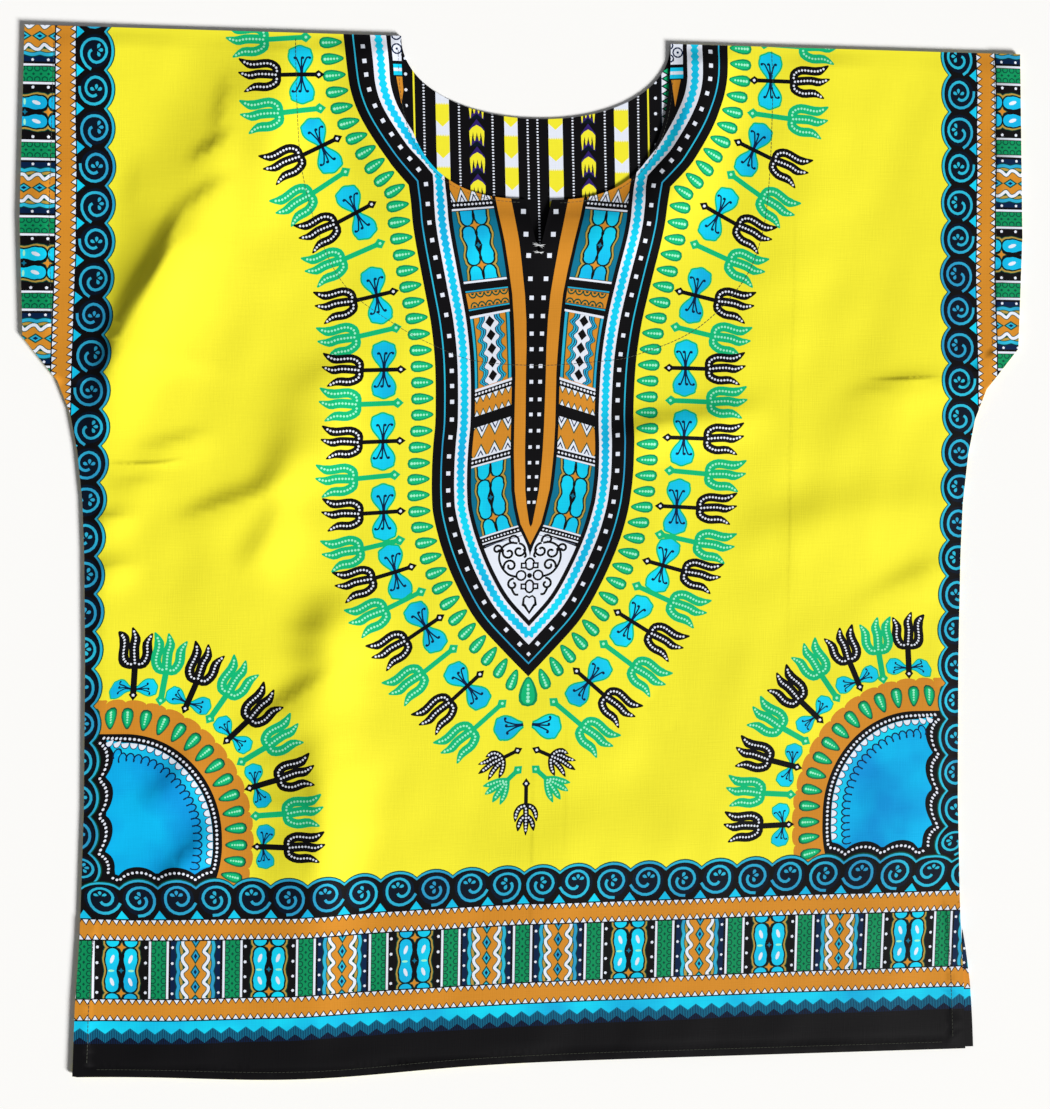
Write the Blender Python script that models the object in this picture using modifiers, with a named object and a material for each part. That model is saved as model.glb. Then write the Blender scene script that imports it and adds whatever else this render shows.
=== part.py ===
"""A dashiki: a wide pull-over shirt with cap sleeves cut in one with the body, laid flat.

Two cotton panels lie on each other, the back face down and the front on top of it. The front is cut lower at
the neck, with a short slit, and its loose cloth rises in soft folds. Metres, +Z up, +X to the right of the
picture, +Y towards the neck. The origin is under the middle of the shirt.
"""

import bmesh
import bpy
import numpy as np

# Lengths of the finished shirt, in metres, taken up from the hem.
LENGTH = 0.791  # hem to shoulder line
HEM_DIP = 0.008  # how far the hem hangs down where the left half is pulled
HEM_DIP_X = -0.180
HEM_DIP_REACH = 0.110
NECK_HALF_WIDTH = 0.103
FRONT_NECK_DEPTH = 0.120
BACK_NECK_DEPTH = 0.059
FRONT_NECK_FULLNESS = 2.85  # exponent of the neckline: 2 is an ellipse, more is squarer
BACK_NECK_FULLNESS = 2.1
SLIT_X = 0.002
SLIT_DEPTH = 0.042
SLIT_HALF_WIDTH = 0.010
VENT_TOP = 0.108  # the side seams are open below this height
BACK_SWING = 0.008  # how far the back's right vent flap lies outside the front's
BACK_SWING_FULLNESS = 0.6  # exponent of that swing: under 1 it comes in quickly below the top of the vent
BACK_INSET = 0.0008  # the back is pressed this much inside the front elsewhere

# The cut of one side, from the hem up: height above the hem, half width of the shirt there.
SIDE_CUT = (
    (0.000, 0.3530),  # hem corner
    (0.055, 0.3505),
    (0.108, 0.3465),  # top of the vent
    (0.205, 0.3425),
    (0.320, 0.3405),
    (0.400, 0.3405),
    (0.440, 0.3415),
    (0.478, 0.3450),  # the side seam turns out under the arm
    (0.506, 0.3500),
    (0.530, 0.3590),
    (0.562, 0.3840),  # lower corner of the sleeve hem
    (0.650, 0.3852),
    (0.791, 0.3800),  # upper corner, on the shoulder line
)

# Thicknesses and levels.
CLOTH = 0.0012  # wall of each panel
GAP = 0.0003  # between the panels
FRONT_FLOOR = CLOTH + GAP  # underside of the front where it lies flat
EDGE_FADE = 0.016  # folds die away over this distance inside the side edges
NECK_ROLL = 0.0035  # the front stands up round the neck, a little way from its edge
NECK_ROLL_AT = 0.026
NECK_ROLL_REACH = 0.020

# The largest folds. Each is a ridge from one end to the other: x and y of both ends above the hem, sideways
# bend of its middle to the left of its run, height, place of its highest point as a share of its length, and
# how far it spreads to the left and to the right of its run.
FOLDS = (
    # x0, y0, x1, y1, bend, height, peak, left, right
    (-0.322, 0.535, -0.196, 0.800, -0.004, 0.0120, 0.32, 0.013, 0.048),  # across the left sleeve
    (-0.285, 0.628, -0.180, 0.652, 0.000, 0.0045, 0.45, 0.011, 0.030),
    (-0.262, 0.662, -0.170, 0.722, 0.004, 0.0045, 0.45, 0.013, 0.032),
    (-0.290, 0.418, -0.165, 0.484, 0.004, 0.0070, 0.52, 0.010, 0.030),  # left side, at the waist
    (-0.196, 0.440, -0.145, 0.585, 0.008, 0.0055, 0.42, 0.014, 0.038),
    (-0.238, 0.372, -0.186, 0.436, 0.000, 0.0040, 0.50, 0.015, 0.028),
    (-0.228, 0.258, -0.138, 0.318, 0.003, 0.0060, 0.50, 0.010, 0.026),
    (-0.168, 0.282, -0.142, 0.388, 0.004, 0.0065, 0.50, 0.014, 0.034),
    (-0.345, 0.446, -0.228, 0.458, 0.003, 0.0028, 0.35, 0.009, 0.022),
    (-0.288, 0.484, -0.216, 0.496, 0.000, 0.0022, 0.50, 0.010, 0.020),
    (-0.342, 0.424, -0.298, 0.428, 0.000, 0.0028, 0.40, 0.007, 0.014),  # puckers of the left seam
    (-0.342, 0.385, -0.292, 0.388, 0.000, 0.0026, 0.40, 0.008, 0.014),
    (-0.152, 0.085, -0.148, 0.330, 0.000, 0.0030, 0.50, 0.020, 0.040),  # left half, down to the hem
    (0.115, 0.486, 0.345, 0.502, 0.004, 0.0060, 0.55, 0.026, 0.040),  # right side, across the chest
    (0.240, 0.520, 0.345, 0.524, 0.000, 0.0034, 0.55, 0.012, 0.026),
    (0.120, 0.412, 0.345, 0.404, -0.005, 0.0042, 0.50, 0.024, 0.036),
    (0.262, 0.362, 0.345, 0.374, 0.000, 0.0036, 0.60, 0.011, 0.026),
    (0.150, 0.300, 0.345, 0.262, 0.000, 0.0030, 0.55, 0.026, 0.036),
    (0.225, 0.600, 0.335, 0.750, 0.008, 0.0030, 0.45, 0.030, 0.040),  # right sleeve
    (-0.060, 0.150, 0.180, 0.185, 0.004, 0.0026, 0.50, 0.030, 0.030),  # above the hem
)

# Mesh of the front: the left half, with the sharper folds, has the closer columns.
LEFT_COLUMNS = 33
RIGHT_COLUMNS = 23
COLUMN_CHANGE_X = -0.120
ROWS = 60
MARGIN = 0.012  # the sheet reaches this far past the outline before it is cut
OUTLINE_STEP = 0.012
CUTTER_LOW = -0.02  # the cutter reaches from below the front to above its highest fold
CUTTER_HIGH = 0.06
WELD = 1e-6  # points of a prism closer than this are one point

# Colours, linear.
FRONT_COLOUR = (0.90, 0.82, 0.05, 1.0)
BACK_COLOUR = (0.80, 0.72, 0.05, 1.0)
COTTON_ROUGHNESS = 0.65

HEM_LOWEST = -HEM_DIP
CENTRE_Y = (LENGTH + HEM_LOWEST) / 2


def clear_scene():
    for obj in list(bpy.data.objects):
        bpy.data.objects.remove(obj, do_unlink=True)


def new_collection(name):
    collection = bpy.data.collections.new(name)
    bpy.context.scene.collection.children.link(collection)
    return collection


def cotton(name, colour):
    material = bpy.data.materials.new(name)
    material.use_nodes = True
    shader = material.node_tree.nodes["Principled BSDF"]
    shader.inputs["Base Color"].default_value = colour
    shader.inputs["Roughness"].default_value = COTTON_ROUGHNESS
    shader.inputs["Metallic"].default_value = 0.0
    return material


def half_width(height):
    """Half the shirt's width at a height above the hem, straight between the rows of SIDE_CUT."""
    rows = np.array(SIDE_CUT)
    return np.interp(height, rows[:, 0], rows[:, 1])


def hem_height(x):
    """The hem's own line: level, with one shallow dip."""
    return -HEM_DIP * np.exp(-(((x - HEM_DIP_X) / HEM_DIP_REACH) ** 2))


def steps(length):
    return max(2, int(round(length / OUTLINE_STEP)))


def side_points(sign, widen):
    """One side from the hem corner up to the shoulder. widen gives what is added to each row's half width."""
    corners = np.array(SIDE_CUT)
    heights = np.concatenate(
        [np.linspace(a, b, steps(b - a), endpoint=False) for a, b in zip(corners[:-1, 0], corners[1:, 0])]
    )
    heights = np.append(heights, LENGTH)
    return [(sign * (half_width(h) + widen(sign, h)), h) for h in heights]


def neck_points(depth, fullness):
    """The neckline from the right shoulder to the left: a curve |x/a|^n + |drop/b|^n = 1."""
    angle = np.linspace(0.0, np.pi, steps(np.pi * NECK_HALF_WIDTH))[1:-1]
    across = np.sign(np.cos(angle)) * np.abs(np.cos(angle)) ** (2 / fullness)
    down = np.abs(np.sin(angle)) ** (2 / fullness)
    return list(zip(NECK_HALF_WIDTH * across, LENGTH - depth * down))


def panel_outline(neck, widen, raise_hem):
    """The panel's closed outline, counter-clockwise from the left hem corner."""
    left = side_points(-1, widen)
    right = side_points(1, widen)
    hem_x = np.linspace(left[0][0], right[0][0], steps(right[0][0] - left[0][0]))[1:-1]
    hem = [(x, hem_height(x) + raise_hem) for x in hem_x]
    right[0] = (right[0][0], right[0][1] + raise_hem)
    left[0] = (left[0][0], left[0][1] + raise_hem)
    return hem + right + [(NECK_HALF_WIDTH, LENGTH)] + neck + [(-NECK_HALF_WIDTH, LENGTH)] + left[::-1]


def front_outline():
    neck = neck_points(FRONT_NECK_DEPTH, FRONT_NECK_FULLNESS)
    right = [p for p in neck if p[0] > SLIT_X + SLIT_HALF_WIDTH]
    left = [p for p in neck if p[0] < SLIT_X - SLIT_HALF_WIDTH]
    mouth = LENGTH - FRONT_NECK_DEPTH
    slit = [
        (SLIT_X + SLIT_HALF_WIDTH, mouth),
        (SLIT_X, mouth - SLIT_DEPTH),
        (SLIT_X - SLIT_HALF_WIDTH, mouth),
    ]
    return panel_outline(right + slit + left, lambda sign, h: 0.0, 0.0)


def back_outline():
    """The back hides under the front, but its right vent flap has swung out past it."""

    def widen(sign, height):
        if sign < 0 or height > VENT_TOP:
            return -BACK_INSET
        return -BACK_INSET + BACK_SWING * np.sin(np.pi / 2 * (1 - height / VENT_TOP)) ** BACK_SWING_FULLNESS

    neck = neck_points(BACK_NECK_DEPTH, BACK_NECK_FULLNESS)
    return panel_outline(neck, widen, BACK_INSET)


def fold_height(x, y, fold):
    """One ridge: a bell across its run, with its own width on each side, times a hump along it."""
    x0, y0, x1, y1, bend, height, peak, left, right = fold
    run = np.hypot(x1 - x0, y1 - y0)
    ux, uy = (x1 - x0) / run, (y1 - y0) / run
    along = np.clip(((x - x0) * ux + (y - y0) * uy) / run, 0.0, 1.0)
    across = -(x - x0) * uy + (y - y0) * ux - bend * np.sin(np.pi * along)
    spread = np.where(across > 0, left, right)
    hump = np.sin(np.pi * along ** (np.log(0.5) / np.log(peak))) ** 2
    return height * hump * np.exp(-((across / spread) ** 2))


def neck_roll(x, y):
    """The front stands up a little way outside its neckline, on both sides of it."""
    a = np.abs(x) / NECK_HALF_WIDTH
    b = np.clip(LENGTH - y, 0.0, None) / FRONT_NECK_DEPTH
    outside = ((a**FRONT_NECK_FULLNESS + b**FRONT_NECK_FULLNESS) ** (1 / FRONT_NECK_FULLNESS) - 1) * NECK_HALF_WIDTH
    return NECK_ROLL * np.exp(-(((outside - NECK_ROLL_AT) / NECK_ROLL_REACH) ** 2))


def front_height(x, y):
    """Height of the front's underside: the folds and the neck roll, dying away towards the side edges."""
    inside = np.minimum(half_width(y) - np.abs(x), y - hem_height(x))
    fade = np.clip(inside / EDGE_FADE, 0.0, 1.0)
    fade = fade * fade * (3 - 2 * fade)
    rise = sum(fold_height(x, y, fold) for fold in FOLDS) + neck_roll(x, y)
    return FRONT_FLOOR + rise * fade


def prism(name, outline, low, high, collection):
    """A closed upright prism over an outline: a flat curve, extruded, made a mesh and welded."""
    curve = bpy.data.curves.new(name, "CURVE")
    curve.dimensions = "2D"
    curve.fill_mode = "BOTH"
    curve.extrude = (high - low) / 2
    spline = curve.splines.new("POLY")
    spline.points.add(len(outline) - 1)
    spline.use_cyclic_u = True
    for point, (x, y) in zip(spline.points, outline):
        point.co = (x, y - CENTRE_Y, 0.0, 1.0)
    drawn = bpy.data.objects.new(name + "_outline", curve)
    collection.objects.link(drawn)
    drawn.location.z = (high + low) / 2
    bpy.context.view_layer.update()
    mesh = bpy.data.meshes.new_from_object(drawn.evaluated_get(bpy.context.evaluated_depsgraph_get()))
    welded = bmesh.new()
    welded.from_mesh(mesh)
    bmesh.ops.remove_doubles(welded, verts=welded.verts, dist=WELD)
    bmesh.ops.recalc_face_normals(welded, faces=welded.faces)
    welded.to_mesh(mesh)
    welded.free()
    solid = bpy.data.objects.new(name, mesh)
    solid.matrix_world = drawn.matrix_world
    collection.objects.link(solid)
    bpy.data.objects.remove(drawn, do_unlink=True)
    bpy.data.curves.remove(curve)
    return solid


def make_back(shirt):
    """The back panel: one flat layer on the ground, with the shallow back neckline."""
    back = prism("back_panel", back_outline(), 0.0, CLOTH, shirt)
    back.data.materials.append(cotton("back_cotton", BACK_COLOUR))
    return back


def make_front(shirt, cutters):
    """The front panel: a grid raised into the folds, given its wall, and cut to the outline."""
    columns = LEFT_COLUMNS + RIGHT_COLUMNS
    reach_x = max(width for _, width in SIDE_CUT) + MARGIN
    low_y = HEM_LOWEST - MARGIN
    high_y = LENGTH + MARGIN
    sheet = bmesh.new()
    bmesh.ops.create_grid(sheet, x_segments=columns, y_segments=ROWS, size=0.5)
    flat = np.array([v.co[:] for v in sheet.verts]) + 0.5
    column_x = np.concatenate(
        [
            np.linspace(-reach_x, COLUMN_CHANGE_X, LEFT_COLUMNS, endpoint=False),
            np.linspace(COLUMN_CHANGE_X, reach_x, RIGHT_COLUMNS + 1),
        ]
    )
    x = np.interp(flat[:, 0], np.linspace(0.0, 1.0, columns + 1), column_x)
    y = low_y + (high_y - low_y) * flat[:, 1]
    z = front_height(x, y)
    for vert, place in zip(sheet.verts, np.stack([x, y - CENTRE_Y, z], axis=1)):
        vert.co = place
    mesh = bpy.data.meshes.new("front_panel")
    sheet.to_mesh(mesh)
    sheet.free()
    mesh.shade_smooth()
    mesh.materials.append(cotton("front_cotton", FRONT_COLOUR))
    front = bpy.data.objects.new("front_panel", mesh)
    shirt.objects.link(front)

    wall = front.modifiers.new("wall", "SOLIDIFY")
    wall.thickness = CLOTH
    wall.offset = 1.0
    wall.use_even_offset = True

    cutter = prism("front_cut", front_outline(), CUTTER_LOW, CUTTER_HIGH, cutters)
    cutter.hide_render = True
    cutter.display_type = "WIRE"
    cut = front.modifiers.new("cut_to_outline", "BOOLEAN")
    cut.operation = "INTERSECT"
    cut.solver = "EXACT"
    cut.object = cutter
    return front


def main():
    clear_scene()
    shirt = new_collection("dashiki_shirt")
    cutters = new_collection("cutters")
    make_back(shirt)
    make_front(shirt, cutters)


main()
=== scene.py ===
"""A dashiki laid flat: two panels of printed cotton, with the stitching that holds them."""

import bpy
import numpy as np
from mathutils import Matrix, Vector
from mathutils.geometry import delaunay_2d_cdt


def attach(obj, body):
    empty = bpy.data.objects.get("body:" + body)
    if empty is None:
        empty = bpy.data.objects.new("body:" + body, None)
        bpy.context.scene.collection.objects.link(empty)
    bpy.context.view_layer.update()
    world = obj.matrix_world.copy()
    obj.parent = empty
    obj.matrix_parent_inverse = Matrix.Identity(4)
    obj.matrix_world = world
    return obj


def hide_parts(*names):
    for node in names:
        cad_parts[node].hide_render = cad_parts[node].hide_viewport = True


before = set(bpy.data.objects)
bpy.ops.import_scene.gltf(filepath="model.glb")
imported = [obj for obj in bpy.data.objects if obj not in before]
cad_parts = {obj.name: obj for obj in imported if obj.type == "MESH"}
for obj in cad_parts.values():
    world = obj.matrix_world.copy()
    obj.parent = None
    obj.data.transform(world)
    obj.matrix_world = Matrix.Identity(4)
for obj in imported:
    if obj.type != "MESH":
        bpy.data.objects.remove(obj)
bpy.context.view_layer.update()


# ---------------------------------------------------------------------------
# The camera. It hangs over the shirt, a little to the left of its middle and above it, and looks almost
# straight down, turned a few degrees towards the middle.
# ---------------------------------------------------------------------------
LENGTH = 0.791  # hem to shoulder line
HEM_DIP = 0.008  # how far the hem hangs down where the left half is pulled
CENTRE_Y = (LENGTH - HEM_DIP) / 2  # height above the hem of the frame's origin
CAMERA_PLACE = (-0.165, 0.490 - CENTRE_Y, 1.418)
TURN_Z, TURN_Y, TURN_X = np.radians((0.35, -6.35, -3.67))


def placed(name, data):
    """A new object at the origin, linked to the scene."""
    thing = bpy.data.objects.new(name, data)
    bpy.context.scene.collection.objects.link(thing)
    return thing


lens = bpy.data.cameras.new("camera")
lens.sensor_fit = "VERTICAL"
lens.sensor_height = 36.0
lens.lens = 60.0
lens.clip_start = 0.05
lens.clip_end = 20.0
camera = placed("camera", lens)
turn = Matrix.Rotation(TURN_Z, 4, "Z") @ Matrix.Rotation(TURN_Y, 4, "Y") @ Matrix.Rotation(TURN_X, 4, "X")
camera.matrix_world = Matrix.Translation(CAMERA_PLACE) @ turn
bpy.context.scene.camera = camera


# ---------------------------------------------------------------------------
# The front panel: one piece of printed cotton with the cap sleeves cut in one with it. It is sewn to the
# back at the shoulders and down the sides to the vents, and its loose cloth stands up in soft folds. Its
# shape comes first, then its print from the corners to the yoke, then the cut cloth and its material.
# ---------------------------------------------------------------------------
HEM_DIP_X = -0.180
HEM_DIP_REACH = 0.110
NECK_HALF_WIDTH = 0.103
FRONT_NECK_DEPTH = 0.120
FRONT_NECK_FULLNESS = 2.85
SLIT_X = 0.002
SLIT_DEPTH = 0.042
SLIT_HALF_WIDTH = 0.010
VENT_TOP = 0.108
CLOTH = 0.0012  # how thick the cloth lies
FRONT_FLOOR = 0.0015  # height of the front's underside where it lies on the back
EDGE_FADE = 0.016
NECK_ROLL = 0.0035
NECK_ROLL_AT = 0.026
NECK_ROLL_REACH = 0.020
BELL = 9.0  # reach of one bell along its fold, in millimetres

# Height above the hem and half width of the shirt there.
SIDE_CUT = np.array([
    (0.000, 0.3530), (0.055, 0.3505), (0.108, 0.3465), (0.205, 0.3425), (0.320, 0.3405), (0.400, 0.3405),
    (0.440, 0.3415), (0.478, 0.3450), (0.506, 0.3500), (0.530, 0.3590), (0.562, 0.3840), (0.650, 0.3852),
    (0.791, 0.3800),
])

# Each fold is a crest line in millimetres, going up or to the right: x, y, height, and how far its bell
# reaches to the left and to the right. The first is the large one from the sleeve to the shoulder.
FOLDS = [
    [(-322, 500, 0, 24, 44), (-312, 560, 4.0, 26, 48), (-290, 610, 5.5, 26, 48), (-250, 690, 4.0, 26, 48),
     (-215, 760, 1.6, 26, 44), (-196, 800, 0, 24, 40)],
    [(-334, 470, 0, 9, 20), (-325, 510, 3.2, 12, 22), (-315, 548, 5.8, 11, 24), (-305, 576, 7.0, 9, 26),
     (-294, 595, 7.8, 8.5, 26), (-283, 612, 8.2, 8.5, 26), (-275, 627, 7.8, 9, 26), (-271, 640, 5.6, 9, 24),
     (-264, 653, 2.6, 9, 22), (-254, 663, 3.0, 8, 20), (-242, 672, 2.6, 8, 18), (-225, 680, 0, 8, 16)],
    [(-258, 690, 0, 7, 18), (-248, 698, 3.0, 7, 20), (-237, 706, 3.2, 7, 20), (-226, 714, 0, 7, 18)],
    [(-237, 706, 0, 8, 18), (-235, 724, 2.2, 8, 18), (-232, 740, 2.0, 8, 20), (-226, 760, 0, 9, 20)],
    [(-218, 640, 0, 22, 22), (-208, 690, 2.8, 24, 22), (-198, 735, 3.6, 26, 22), (-190, 790, 0, 24, 20)],
    [(-300, 650, 0, 12, 18), (-296, 675, 1.8, 12, 18), (-290, 700, 0, 12, 18)],
    # the bent one at the waist, and the small ones round it
    [(-272, 423, 0, 8, 20), (-252, 430, 2.8, 9, 24), (-232, 437, 3.8, 10, 26), (-210, 443, 4.8, 11, 26),
     (-195, 453, 4.8, 13, 22), (-186, 470, 3.4, 15, 20), (-183, 492, 1.4, 15, 18), (-180, 516, 0.9, 13, 18),
     (-166, 533, 1.0, 11, 16), (-146, 542, 0, 10, 16)],
    [(-166, 440, 0, 26, 20), (-163, 475, 4.2, 30, 20), (-160, 505, 4.2, 32, 20), (-150, 540, 2.6, 28, 20),
     (-138, 565, 0, 24, 20)],
    [(-322, 468, 0, 1.6, 4), (-305, 467.5, 0.8, 1.8, 4), (-285, 468.5, 0.8, 1.8, 4),
     (-266, 471.5, 0, 1.6, 4)],
    [(-300, 477, 0, 7, 14), (-280, 481, 1.6, 7, 14), (-262, 486, 1.6, 7, 14), (-244, 490, 0, 7, 14)],
    [(-324, 447, 0, 8, 18), (-300, 451, 1.5, 8, 18), (-276, 457, 0, 8, 18)],
    [(-222, 382, 0, 14, 24), (-208, 400, 4.0, 14, 24), (-198, 420, 4.0, 14, 24), (-188, 444, 0, 12, 20)],
    [(-168, 288, 0, 20, 24), (-158, 316, 6.0, 22, 26), (-156, 342, 8.0, 22, 26), (-160, 372, 0, 18, 22)],
    [(-228, 258, 0, 10, 26), (-205, 272, 2.8, 10, 26), (-182, 289, 3.4, 10, 26), (-160, 305, 2.4, 10, 26),
     (-138, 318, 0, 10, 22)],
    [(-340, 424, 0, 7, 14), (-322, 426, 3.6, 7, 14), (-300, 428, 0, 7, 14)],
    [(-340, 386, 0, 8, 14), (-320, 389, 2.8, 8, 14), (-298, 390, 0, 8, 14)],
    # the drop beside the left corner flower, and two across its field
    [(-172, 10, 0, 24, 24), (-170, 60, 1.8, 30, 26), (-168, 110, 4.0, 34, 26), (-165, 160, 7.6, 38, 26),
     (-162, 205, 8.8, 38, 28), (-163, 245, 7.0, 34, 28), (-170, 280, 3.5, 26, 24), (-176, 305, 0, 22, 22)],
    [(-170, 140, 0, 9, 16), (-165, 170, 2.0, 10, 18), (-163, 210, 2.4, 10, 18), (-166, 245, 1.6, 10, 18),
     (-174, 270, 0, 9, 16)],
    [(-292, 146, 0, 9, 16), (-272, 156, 3.4, 9, 18), (-258, 172, 3.4, 9, 18), (-250, 194, 0, 9, 16)],
    [(-302, 205, 0, 10, 18), (-284, 216, 2.0, 10, 18), (-268, 232, 2.0, 10, 18), (-260, 252, 0, 10, 16)],
    # the right half: low folds drawn in towards the sleeve, and one across the yoke's edge
    [(115, 486, 0, 26, 40), (240, 496, 1.8, 26, 40), (342, 502, 0, 26, 40)],
    [(240, 518, 0, 8, 16), (265, 525, 1.4, 9, 18), (290, 531, 2.6, 9, 20), (312, 533, 2.2, 9, 18),
     (336, 531, 0, 8, 14)],
    [(264, 536, 0, 1.5, 3), (285, 536.5, 0.7, 1.6, 3), (303, 537.5, 0.7, 1.6, 3), (318, 538.5, 0, 1.5, 3)],
    [(150, 404, 0, 22, 28), (200, 420, 2.8, 22, 30), (262, 432, 2.8, 22, 30), (328, 437, 1.4, 20, 28),
     (342, 437, 0, 18, 24)],
    [(256, 354, 0, 11, 18), (285, 371, 1.8, 11, 20), (310, 383, 2.2, 11, 20), (334, 387, 0, 10, 18)],
    [(56, 486, 0, 10, 18), (84, 496, 4.4, 11, 20), (112, 500, 4.2, 12, 20), (150, 506, 3.0, 12, 18),
     (185, 512, 0, 12, 16)],
    [(150, 300, 0, 26, 36), (245, 284, 1.6, 26, 36), (342, 262, 0, 26, 36)],
    [(-60, 150, 0, 30, 30), (60, 170, 2.2, 30, 30), (180, 185, 0, 30, 30)],
    # where the shirt was folded for its packet
    [(203, 310, 0, 1.5, 10), (202, 400, 0.19, 1.5, 10), (202, 500, 0.16, 1.5, 10),
     (203, 600, 0.14, 1.5, 10), (203, 700, 0, 1.5, 10)],
    [(-2, 20, 0, 1.5, 9), (0, 100, 0.15, 1.5, 9), (1, 200, 0.2, 1.5, 9), (2, 290, 0, 1.5, 9)],
    [(26, 150, 0, 1.5, 9), (27, 220, 0.12, 1.5, 9), (28, 290, 0, 1.5, 9)],
]


def pairs(a, b):
    """The points (a, b), one to a row."""
    return np.stack(np.broadcast_arrays(a, b), axis=-1)


def run_of(path):
    """How far along a path each of its points lies."""
    return np.concatenate([[0.0], np.cumsum(np.hypot(*np.diff(path, axis=0).T))])


def half_width(height):
    return np.interp(height, SIDE_CUT[:, 0], SIDE_CUT[:, 1])


def hem_height(x):
    """The hem's own line: level, with one shallow bell-shaped dip."""
    return -HEM_DIP * np.exp(-(((x - HEM_DIP_X) / HEM_DIP_REACH) ** 2))


def side_line(sign, widen):
    """One side edge from the hem up: the half width of each row, with widen(sign, height) added."""
    height = np.unique(np.concatenate([np.linspace(0.0, LENGTH, 200), SIDE_CUT[:, 0]]))
    return pairs(sign * (half_width(height) + widen(sign, height)), height)


def neckline(depth, fullness):
    """The neckline from the right shoulder to the left: |x/a|^n + |drop/b|^n = 1."""
    angle = np.linspace(0.0, np.pi, 100)[1:-1]
    across = np.sign(np.cos(angle)) * np.abs(np.cos(angle)) ** (2 / fullness)
    return pairs(NECK_HALF_WIDTH * across, LENGTH - depth * np.sin(angle) ** (2 / fullness))


def panel_outline(neck, widen, raise_hem):
    """A panel's closed outline, counter-clockwise from the left hem corner."""
    left, right = side_line(-1, widen), side_line(1, widen)
    hem_x = np.linspace(left[0, 0], right[0, 0], 180)[1:-1]
    left[0, 1] += raise_hem
    right[0, 1] += raise_hem
    neck = np.concatenate([[(NECK_HALF_WIDTH, LENGTH)], neck, [(-NECK_HALF_WIDTH, LENGTH)]])
    return np.concatenate([pairs(hem_x, hem_height(hem_x) + raise_hem), right, neck, left[::-1]])


def front_outline():
    """The front's outline, with the short slit below its neck."""
    neck = neckline(FRONT_NECK_DEPTH, FRONT_NECK_FULLNESS)
    mouth = LENGTH - FRONT_NECK_DEPTH
    slit = pairs(SLIT_X + SLIT_HALF_WIDTH * np.array([1, 0, -1]), mouth - SLIT_DEPTH * np.array([0, 1, 0]))
    right, left = neck[neck[:, 0] > slit[0, 0]], neck[neck[:, 0] < slit[2, 0]]
    return panel_outline(np.concatenate([right, slit, left]), lambda sign, h: 0.0 * h, 0.0)


def fold_height(x, y, fold):
    """One fold: the sum of short bells at an even pitch along its crest line. Each is exp(-(s/BELL)^2)
    along the line times exp(-(n/reach)^2) across it, with its own reach on each side."""
    crest = np.array(fold, float)
    run = run_of(crest[:, :2])
    at = np.linspace(0.0, run[-1], int(run[-1] / 5) + 2)
    cx, cy, high, left, right = (np.interp(at, run, column) for column in crest.T)
    ux, uy = np.gradient(cx), np.gradient(cy)
    long = np.hypot(ux, uy)
    ux, uy = ux / long, uy / long
    share = high * (at[1] - at[0]) / (BELL * np.pi**0.5)
    far = 2.6 * max(left.max(), right.max())
    x, y = x * 1000, y * 1000
    near = (x > cx.min() - far) & (x < cx.max() + far) & (y > cy.min() - far) & (y < cy.max() + far)
    dx, dy = x[near][:, None] - cx, y[near][:, None] - cy
    across = dy * ux - dx * uy
    reach = np.where(across > 0, left, right)
    bells = share * np.exp(-(((dx * ux + dy * uy) / BELL) ** 2) - (across / reach) ** 2)
    rise = np.zeros_like(x)
    rise[near] = bells.sum(axis=1) / 1000
    return rise


def past_neck(x, y):
    """How far outside the front neckline a point lies, by the superellipse that it is on."""
    a = np.abs(x) / NECK_HALF_WIDTH
    b = np.clip(LENGTH - y, 0.0, None) / FRONT_NECK_DEPTH
    n = FRONT_NECK_FULLNESS
    return ((a**n + b**n) ** (1 / n) - 1) * NECK_HALF_WIDTH


def uneven(x, y, seed, longest, amount):
    """Slow unevenness: a sum of eight sine waves in random directions, none longer than longest."""
    pick = np.random.default_rng(seed)
    total = np.zeros_like(x)
    for _ in range(8):
        angle, phase = pick.uniform(0, 2 * np.pi, 2)
        wave = longest * pick.uniform(0.4, 1.0)
        way = x * np.cos(angle) + y * np.sin(angle)
        total = total + np.sin(2 * np.pi * way / wave + phase) * wave / longest
    return total * amount / 3


def front_lies(x, y):
    """Height of the front's underside: a low ring round the neckline, a little unevenness and the folds.
    All of them fade out towards the edges."""
    past = past_neck(x, y)
    inside = np.minimum(half_width(y) - np.abs(x), y - hem_height(x))
    inside = np.minimum(np.minimum(inside, past + 0.001), LENGTH - y)
    fade = np.clip(inside / EDGE_FADE, 0.0, 1.0)
    fade = fade * fade * (3 - 2 * fade)
    rise = NECK_ROLL * np.exp(-(((past - NECK_ROLL_AT) / NECK_ROLL_REACH) ** 2))
    rise = rise + uneven(x, y, 3, 0.16, 0.0008) + uneven(x, y, 8, 0.075, 0.00028) + 0.0008
    for fold in FOLDS:
        rise = rise + fold_height(x, y, fold)
    return FRONT_FLOOR + np.clip(rise, 0.0, None) * fade


def tilt(surface, x, y):
    """The unit normals of a surface z(x, y), from its slopes over half a millimetre to each side."""
    step = 0.0005
    slope_x = (surface(x + step, y) - surface(x - step, y)) / (2 * step)
    slope_y = (surface(x, y + step) - surface(x, y - step)) / (2 * step)
    normal = np.stack([-slope_x, -slope_y, np.ones_like(x)], axis=1)
    return normal / np.linalg.norm(normal, axis=1, keepdims=True)


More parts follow.
